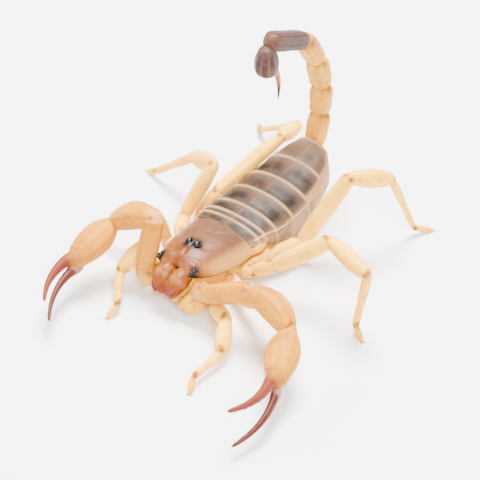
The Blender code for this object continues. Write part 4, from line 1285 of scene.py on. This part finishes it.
SKIN_FOLDS = (                # stations, sides, steps between them
    (((5.6, -4.6, 3.5, 0.9), (6.3, -2.6, 3.5, 1.1), (6.6, -0.6, 3.4, 1.1), (5.9, 1.3, 3.4, 1.05),
      (4.9, 2.8, 3.3, 0.8), (4.4, 3.5, 3.1, 0.3)), 22, 7),
    (((5.3, -2.6, 5.1, 0.5), (5.65, -1.2, 5.5, 0.8), (5.5, 0.3, 5.2, 0.75), (5.1, 1.8, 4.5, 0.4)), 18, 6),
    (((0.35, -0.9, 1.7, 0.3), (0.8, -1.0, 1.6, 0.55), (1.25, -1.1, 1.8, 0.3)), 18, 6))
for side in (LEFT, RIGHT):
    for number, (x, y) in COXA_STARTS.items():
        start, root = [np.array((p[0] * side, p[1], p[2])) for p in ((x, y, 1.75), COXA_ROOTS[number])]
        tube(under, between(start, root, COXA_RADII), 24, 7, spot=lambda t: 0.25 * hump(t, 1.0, 0.08))
    for front, rear, size in UNDER_LOBES:
        start, root = np.array((front[0] * side, front[1], 2.3)), np.array((rear[0] * side, rear[1], 2.6))
        stations = ((0, 0.25), (0.12, size * 0.8), (0.5, size), (1, size))
        tube(under, between(start, root, stations), 22, 7, tint=lambda t: 0.4 * hump(t, 0.0, 0.2))
    for lobe in ARM_LOBES[side]:
        tube(under, lobe, 24, 7, tint=0.15)
    for stations, sides, steps in SKIN_FOLDS:
        tube(under, mirrored(stations, side), sides, steps)
level_loft(under, [(y, 1.55, width, 0.5) for y, width in BREASTPLATE], 24, 2.4, tint=0.2)
under.write("coxae_and_breastplate", COXA_FINISH, ["coxae_and_sternum"])

# %% [markdown]
# The combs, a pair of feelers that only scorpions have. Each is a thin beam behind the last coxae
# with twenty small teeth along its rear side. Twenty tubes are few enough to be put down by a
# loop, and a loop can make them thinner towards the tip, which an array modifier can't.

# %% Combs
COMB_ROOT, COMB_TIP, COMB_TEETH = (0.9, 1.35, 0.95), (5.5, 3.05, 0.85), 20
COMB_BEAM = ((0.0, 0.38), (0.4, 0.36), (0.8, 0.26), (1.0, 0.1))      # place along it, radius
COMB_TOOTH = ((0.1, 0.8), (0.7, 1.0), (1.15, 1.1), (1.3, 0.4))       # distance out, share of radius
for side, word in SIDE_NAMES.items():
    comb = Shape()
    root, tip = [np.array((x * side, y, z)) for x, y, z in (COMB_ROOT, COMB_TIP)]
    rearward = unit((-(tip - root)[1] * side, (tip - root)[0] * side, 0))
    tube(comb, between(root, tip, COMB_BEAM), 16, 8)
    for k in range(COMB_TEETH):
        t = (k + 0.6) / (COMB_TEETH + 0.5)
        start, size = root * (1 - t) + tip * t, 0.15 * (1 - 0.3 * t)
        tooth = [(out, size * share) for out, share in COMB_TOOTH]
        tube(comb, between(start, start + rearward, tooth), 8, 2, tint=0.2)
    comb.write(f"comb_{word}", LEG_FINISH, [f"pectine_{word}"])

# %% [markdown]
# The tail. Five rings, each a box with rounded sides whose edges are drawn out into rows of fine
# beads, the keels, with a shallow trough along its upper side. Four are straw yellow, with rust
# marks at the joints; the last and the bulb are smoky. The rings are lofted like the limbs, but
# each stays a piece of its own, because on the animal they are separate hard rings.

# %% Joints of the tail
TAIL_FINISH = shell(
    "tail_straw", (0.58, 0.23, 0.008), (0.70, 0.32, 0.016), (0.82, 0.45, 0.08), grain=0.8,
    painted=(("membrane", SOFT_SKIN, 0.35), ("across", (0.50, 0.18, 0.006), 0.35),
             ("tint", (0.085, 0.038, 0.022), 1.0), ("spot", (0.18, 0.042, 0.003), 0.9)))
DARK_TAIL_FINISH = shell(
    "tail_smoke", (0.042, 0.019, 0.014), (0.066, 0.034, 0.026), (0.10, 0.056, 0.044),
    grain=1.0, grains=5200.0, bump=0.45, glow=0.05, coat=0.02, patches=420.0,
    painted=(("across", (0.016, 0.007, 0.005), 0.8), ("tint", (0.15, 0.055, 0.030), 0.8),
             ("spot", (0.17, 0.10, 0.078), 0.55)))
TAIL_KEELS = (                # angle round the ring, height, width; the last one is the trough
    (48, 0.07, 6), (132, 0.07, 6), (8, 0.045, 5), (172, 0.045, 5), (-48, 0.06, 6), (-132, 0.06, 6),
    (-76, 0.035, 5), (-104, 0.035, 5), (90, -0.07, 26))
TAIL_PROFILE = ((0, 0.80, 0.78), (0.12, 0.92, 0.90), (0.5, 1.0, 0.96), (0.82, 1.02, 0.99), (1, 0.92, 0.90))
TAIL_SIDES, LAST_RING, KEEL_BEAD, TAIL_RING_STEP = 72, 5, 0.36, 0.11
tail_joints = [np.array(TAIL_ROOT)]
for length, climb in zip(TAIL_LENGTHS, TAIL_CLIMBS):
    tail_joints.append(tail_joints[-1] + direction(TAIL_HEADING, climb) * length)
tail_limb = Limb(tail_joints, (0, -1, 0))


def joint_marks(rings, number, size):
    """Rust marks at both ends of a tail ring."""
    start, stop = tail_joints[number - 1:number + 1]
    along, up = tail_limb.dirs[number - 1], tail_limb.ups[number - 1]
    side, spots = np.cross(along, up), np.zeros(rings.shape[:2])
    for way in (-1, 1):
        for place, reach, strength in (
                (stop + side * size * 0.85 * way - along * 0.25, 0.65, 0.85),
                (start + side * size * 0.75 * way + up * size * 0.6 + along * 0.5, 0.55, 0.9),
                (stop + up * size * 0.6 + side * size * 0.5 * way - along * 0.2, 0.50, 0.8)):
            spots = np.maximum(spots, strength * near(rings, place, reach))
    return spots


# %% Tail rings
TAIL_DARKNESS = {4: lambda t: 0.35 * slope(t, 0.55, 0.5),
                 LAST_RING: lambda t: 0.5 * slope(t, 0.72, 0.28) ** 2}


def tail_ring(number):
    size, first, last_one = TAIL_HALF_WIDTHS[number - 1], number == 1, number == LAST_RING
    start, along, up = tail_joints[number - 1], tail_limb.dirs[number - 1], tail_limb.ups[number - 1]
    side, length = np.cross(along, up), np.linalg.norm(tail_joints[number] - start)
    angle, c, s = superellipse(TAIL_SIDES, 2.7)
    keels = ridged(angle, TAIL_KEELS)
    sunk, tail_out = (0.9 if first else 0.10), (0.25 if last_one else 0.35)
    distances = np.concatenate((
        np.linspace(-sunk, 0.7, 12), np.linspace(0.8, length - 0.8, int(length / TAIL_RING_STEP)),
        np.linspace(length - 0.7, length + tail_out, 14)))
    places = np.clip(distances / length, 0, 1)
    rings, lines = [], []
    for d, t in zip(distances, places):
        width, height = smooth_table(TAIL_PROFILE, t)[0] * size
        close = 1.0 if first else rounding(d + sunk, 0.9, 0.08)
        shut = rounding(length + tail_out - d, 1.3 if last_one else 0.7, 0.03)
        body = np.clip(min(d - 0.3, length - 0.25 - d) / 0.5, 0, 1)
        beads = 0.75 + 0.45 * cos(2 * pi * d / KEEL_BEAD)
        grow = close * shut * (1 + keels * body * np.where(keels > 0, beads, 1.0))
        rings.append(ring_at(start + along * d, c * grow * width, side, s * grow * height, up))
        lines.append(np.clip(keels * 12, 0, 1) * body * 0.7)
    rings = np.array(rings)
    shape = Shape()
    shape.loft(rings, tint=TAIL_DARKNESS.get(number, np.zeros_like)(places)[:, None],
               membrane=hump(distances, 0.05, 0.25)[:, None] * (not first), across=np.array(lines),
               spot=0.0 if last_one else joint_marks(rings, number, size))
    shape.write(f"tail_ring_{number}", DARK_TAIL_FINISH if last_one else TAIL_FINISH, [f"tail_{number}"])


for number in range(1, LAST_RING + 1):
    tail_ring(number)

# %% [markdown]
# The poison bulb hangs down from the last ring, swollen in the middle, with pale stripes between
# low ridges. One loft along its own axis does it: a table gives its size and how far its middle
# shifts to the rear, and a cosine round each ring gives ridges and stripes alike.

# %% Poison bulb
BULB_SIDES, BULB_RINGS, BULB_TOP, BULB_RIDGES, BULB_RIDGE_HEIGHT = 64, 72, -0.24, 10, 0.018
BULB_PROFILE = (              # place along it, share of full size, shift to the rear
    (-0.24, 0.50, 0.1), (-0.1, 0.70, 0.05), (0.08, 0.86, 0), (0.27, 0.97, 0), (0.48, 1.0, 0),
    (0.72, 0.90, 0.1), (0.9, 0.66, 0.4), (1, 0.36, 0.7))
bulb_start = tail_joints[-1] + np.array(VESICLE_START)
down, side = direction(TAIL_HEADING, VESICLE_CLIMB), np.array((1.0, 0, 0))
rear = np.cross(side, down)
angle, c, s = superellipse(BULB_SIDES, 2.0)
places, rings, stripes = np.linspace(BULB_TOP, 1, BULB_RINGS), [], []
for t in places:
    size, shift = smooth_table(BULB_PROFILE, t)[0]
    shut = sqrt(max((1 - t) / 0.08, 0.03)) if t > 0.92 else sqrt(min((t + 0.25) / 0.10, 1.0))
    body = np.clip(min(t + 0.1, 1 - t) * 5, 0, 1)
    grow = size * shut * (1 + BULB_RIDGE_HEIGHT * np.cos(BULB_RIDGES * angle) * body)
    middle = bulb_start + down * VESICLE_LENGTH * t + rear * shift
    rings.append(ring_at(middle, c * grow * VESICLE_HALF_WIDTH, side, s * grow * VESICLE_HALF_HEIGHT, rear))
    stripes.append(np.clip(np.cos(BULB_RIDGES * angle) * 1.4 - 0.6, 0, 1) * body)
bulb = Shape()
bulb.loft(rings, spot=np.array(stripes), tint=0.6 * hump(places, 1.0, 0.08)[:, None])
bulb.write("poison_bulb", DARK_TAIL_FINISH, ["vesicle"])

# %% [markdown]
# The sting is a bowed thorn, amber at its root and black at its tip. It is a tube whose first two
# stations lie inside the bulb, so that no gap can open between the two.

# %% Sting
STING_FINISH = shell(
    "sting_dark", (0.22, 0.038, 0.004), (0.30, 0.060, 0.007), (0.38, 0.09, 0.014), 0.25, coat=0.2,
    glow=0.05, gleam=0.3, painted=(("tint", (0.006, 0.003, 0.002), 1.0),))
sting_start = bulb_start + down * VESICLE_LENGTH + np.array(STING_START)
ahead = direction(TAIL_HEADING, STING_CLIMB)
stations = [(*(sting_start + np.array(step)), radius)
            for step, radius in (((-0.1, -1.0, 0.75), 0.75), ((0, -0.35, 0.35), 0.6))]
for t in np.linspace(0.03, 0.96, 12):
    centre = sting_start + ahead * STING_LENGTH * t + rear * 4 * STING_BOW * t * (1 - t)
    stations.append((*centre, STING_RADIUS * 1.1 * (1 - t) ** 0.8 + 0.04))
thorn = Shape()
tube(thorn, stations, 20, 4, tint=lambda t: slope(t, 0.42, 0.3))
thorn.write("sting_thorn", STING_FINISH, ["sting"])

# %% [markdown]
# Bristles. Fine stiff hairs stand on the legs, the arms and the tail. They repeat in thousands, so
# a second tree scatters them evenly over a copy of each piece, everywhere above the feet, leans
# each one a little at random, and makes them real. A particle system could do it too, but its
# hairs don't export as a plain mesh.

# %% Bristles, by Geometry Nodes
HAIR_FINISH = shell("bristle_amber", (0.30, 0.10, 0.02), (0.42, 0.17, 0.03), (0.55, 0.28, 0.08), 0.5,
                    glow=0.0, bump=0.0)
BARE_BELOW, BRISTLE_CORNERS, BRISTLE_TIP, BRISTLE_LENGTH = 0.0011, 3, 0.000004, 0.00055
LEAN, SIZES, SIZE_SEED = (0.7, 0.7, 0.5), (0.45, 1.2), 11
LEG_DENSITY, OTHER_DENSITY, FIRST_SEED = 1.1e6, 0.7e6, 21


def bristle_tree():
    tree, given, out = group(
        "bristles_on_shell", [("Shell", "Geometry", None), ("Per square metre", "Float", 2e6),
                              ("Length", "Float", 0.0007), ("Radius", "Float", 0.000022), ("Seed", "Int", 3),
                              ("Finish", "Material", None)], [("Bristles", "Geometry")], "GeometryNodeTree")
    place = node(tree, "ShaderNodeSeparateXYZ", Vector=node(tree, "GeometryNodeInputPosition").outputs[0])
    clear = maths(tree, "GREATER_THAN", place.outputs["Z"], BARE_BELOW)
    scatter = node(tree, "GeometryNodeDistributePointsOnFaces", Mesh=given["Shell"], Seed=given["Seed"],
                   Density=maths(tree, "MULTIPLY", given["Per square metre"], clear)).outputs
    hair = cone(tree, BRISTLE_CORNERS, given["Radius"], BRISTLE_TIP, given["Length"])
    jitter = node(tree, "FunctionNodeRandomValue", {"data_type": "FLOAT_VECTOR"},
                  i0=tuple(-v for v in LEAN), i1=LEAN).outputs[0]
    lean = node(tree, "ShaderNodeVectorMath", {"operation": "ADD"}, i0=scatter["Normal"], i1=jitter)
    size = node(tree, "FunctionNodeRandomValue", {"data_type": "FLOAT"}, i2=SIZES[0], i3=SIZES[1],
                Seed=SIZE_SEED).outputs[1]
    turn = turned_to(tree, lean.outputs[0])
    tree.links.new(stand(tree, scatter["Points"], hair, turn, size, given["Finish"]), out["Bristles"])
    return tree


BRISTLES = bristle_tree()
hairy = [piece for piece in bpy.data.objects
         if piece.name.startswith(("leg_", "pincer_", "tail_ring_")) and "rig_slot" in piece]
print("pieces with bristles:", len(hairy))
for seed, piece in enumerate(hairy, FIRST_SEED):
    density = LEG_DENSITY if piece.name.startswith("leg_") else OTHER_DENSITY
    run_tree(f"{piece.name}_bristles", BRISTLES, piece.data.copy(),
             {"Per square metre": density, "Length": BRISTLE_LENGTH, "Seed": seed, "Finish": HAIR_FINISH},
             piece["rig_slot"])

# %% [markdown]
# The stage: a plain pale floor and white surroundings, as in a product photo. A bare lamp would
# give hard shadows, so three soft square panels do the lighting: a strong one above, a weaker one
# near the camera and a weak one at the picture's left.

# %% Floor and light
FLOOR_REACH, FLOOR_GREY, FLOOR_ROUGHNESS, ROOM_STRENGTH = 1.5, 0.85, 0.9, 0.5
AIM = in_frame((0, 0, 5))
corners = [(x * FLOOR_REACH, y * FLOOR_REACH, 0) for x, y in ((-1, -1), (1, -1), (1, 1), (-1, 1))]
floor_mesh = bpy.data.meshes.new("floor")
floor_mesh.from_pydata(corners, [], [(0, 1, 2, 3)])
floor = bpy.data.objects.new("floor", floor_mesh)
bpy.context.collection.objects.link(floor)
paper = bpy.data.materials.new("pale_floor")
paper.use_nodes = True
coat = paper.node_tree.nodes["Principled BSDF"].inputs
coat["Base Color"].default_value = (FLOOR_GREY, FLOOR_GREY, FLOOR_GREY, 1)
coat["Roughness"].default_value = FLOOR_ROUGHNESS
floor_mesh.materials.append(paper)

world = bpy.data.worlds.new("soft_room")
bpy.context.scene.world = world
world.use_nodes = True
sky = world.node_tree.nodes["Background"].inputs
sky["Color"].default_value, sky["Strength"].default_value = (1.0, 1.0, 1.0, 1), ROOM_STRENGTH


def hang(name, thing, place, backwards):
    """Puts a light or a camera at a place, with its back turned to a direction."""
    holder = bpy.data.objects.new(name, thing)
    bpy.context.collection.objects.link(holder)
    holder.location = place
    holder.rotation_euler = Vector(backwards).to_track_quat("Z", "Y").to_euler()
    return holder


for name, heading, climb, distance, size, power in (
        ("top_panel", 120, 72, 0.45, 0.20, 13.5), ("front_panel", -40, 40, 0.55, 0.22, 6.5),
        ("left_panel", -150, 35, 0.55, 0.22, 2.6)):
    light = bpy.data.lights.new(name, "AREA")
    light.energy, light.size = power, size
    away = AIM + direction(heading, climb) * distance
    hang(name, light, away, away - AIM)

# %% [markdown]
# The camera. The photo was taken from the animal's front left, from fairly high and with little
# perspective, so the lens is long and far away. Turn, rise and distance were found by laying the
# joints' places over the photo.

# %% Camera
CAMERA_TURN, CAMERA_RISE, CAMERA_DISTANCE = radians(38.3), radians(38.5), 290
LENS, SENSOR, SHIFT_RIGHT, SHIFT_UP = 138.3, 36, 1.13, -1.19
right = np.array((cos(CAMERA_TURN), sin(CAMERA_TURN), 0))
back = direction(degrees(CAMERA_TURN) - 90, degrees(CAMERA_RISE))
aim = np.array((0, 0, 5.0)) + right * SHIFT_RIGHT + np.cross(back, right) * SHIFT_UP
camera = bpy.data.cameras.new("camera")
camera.lens, camera.sensor_width = LENS, SENSOR
camera.clip_start, camera.clip_end = 0.01, 10
bpy.context.scene.camera = hang("camera", camera, in_frame(aim + back * CAMERA_DISTANCE), back)
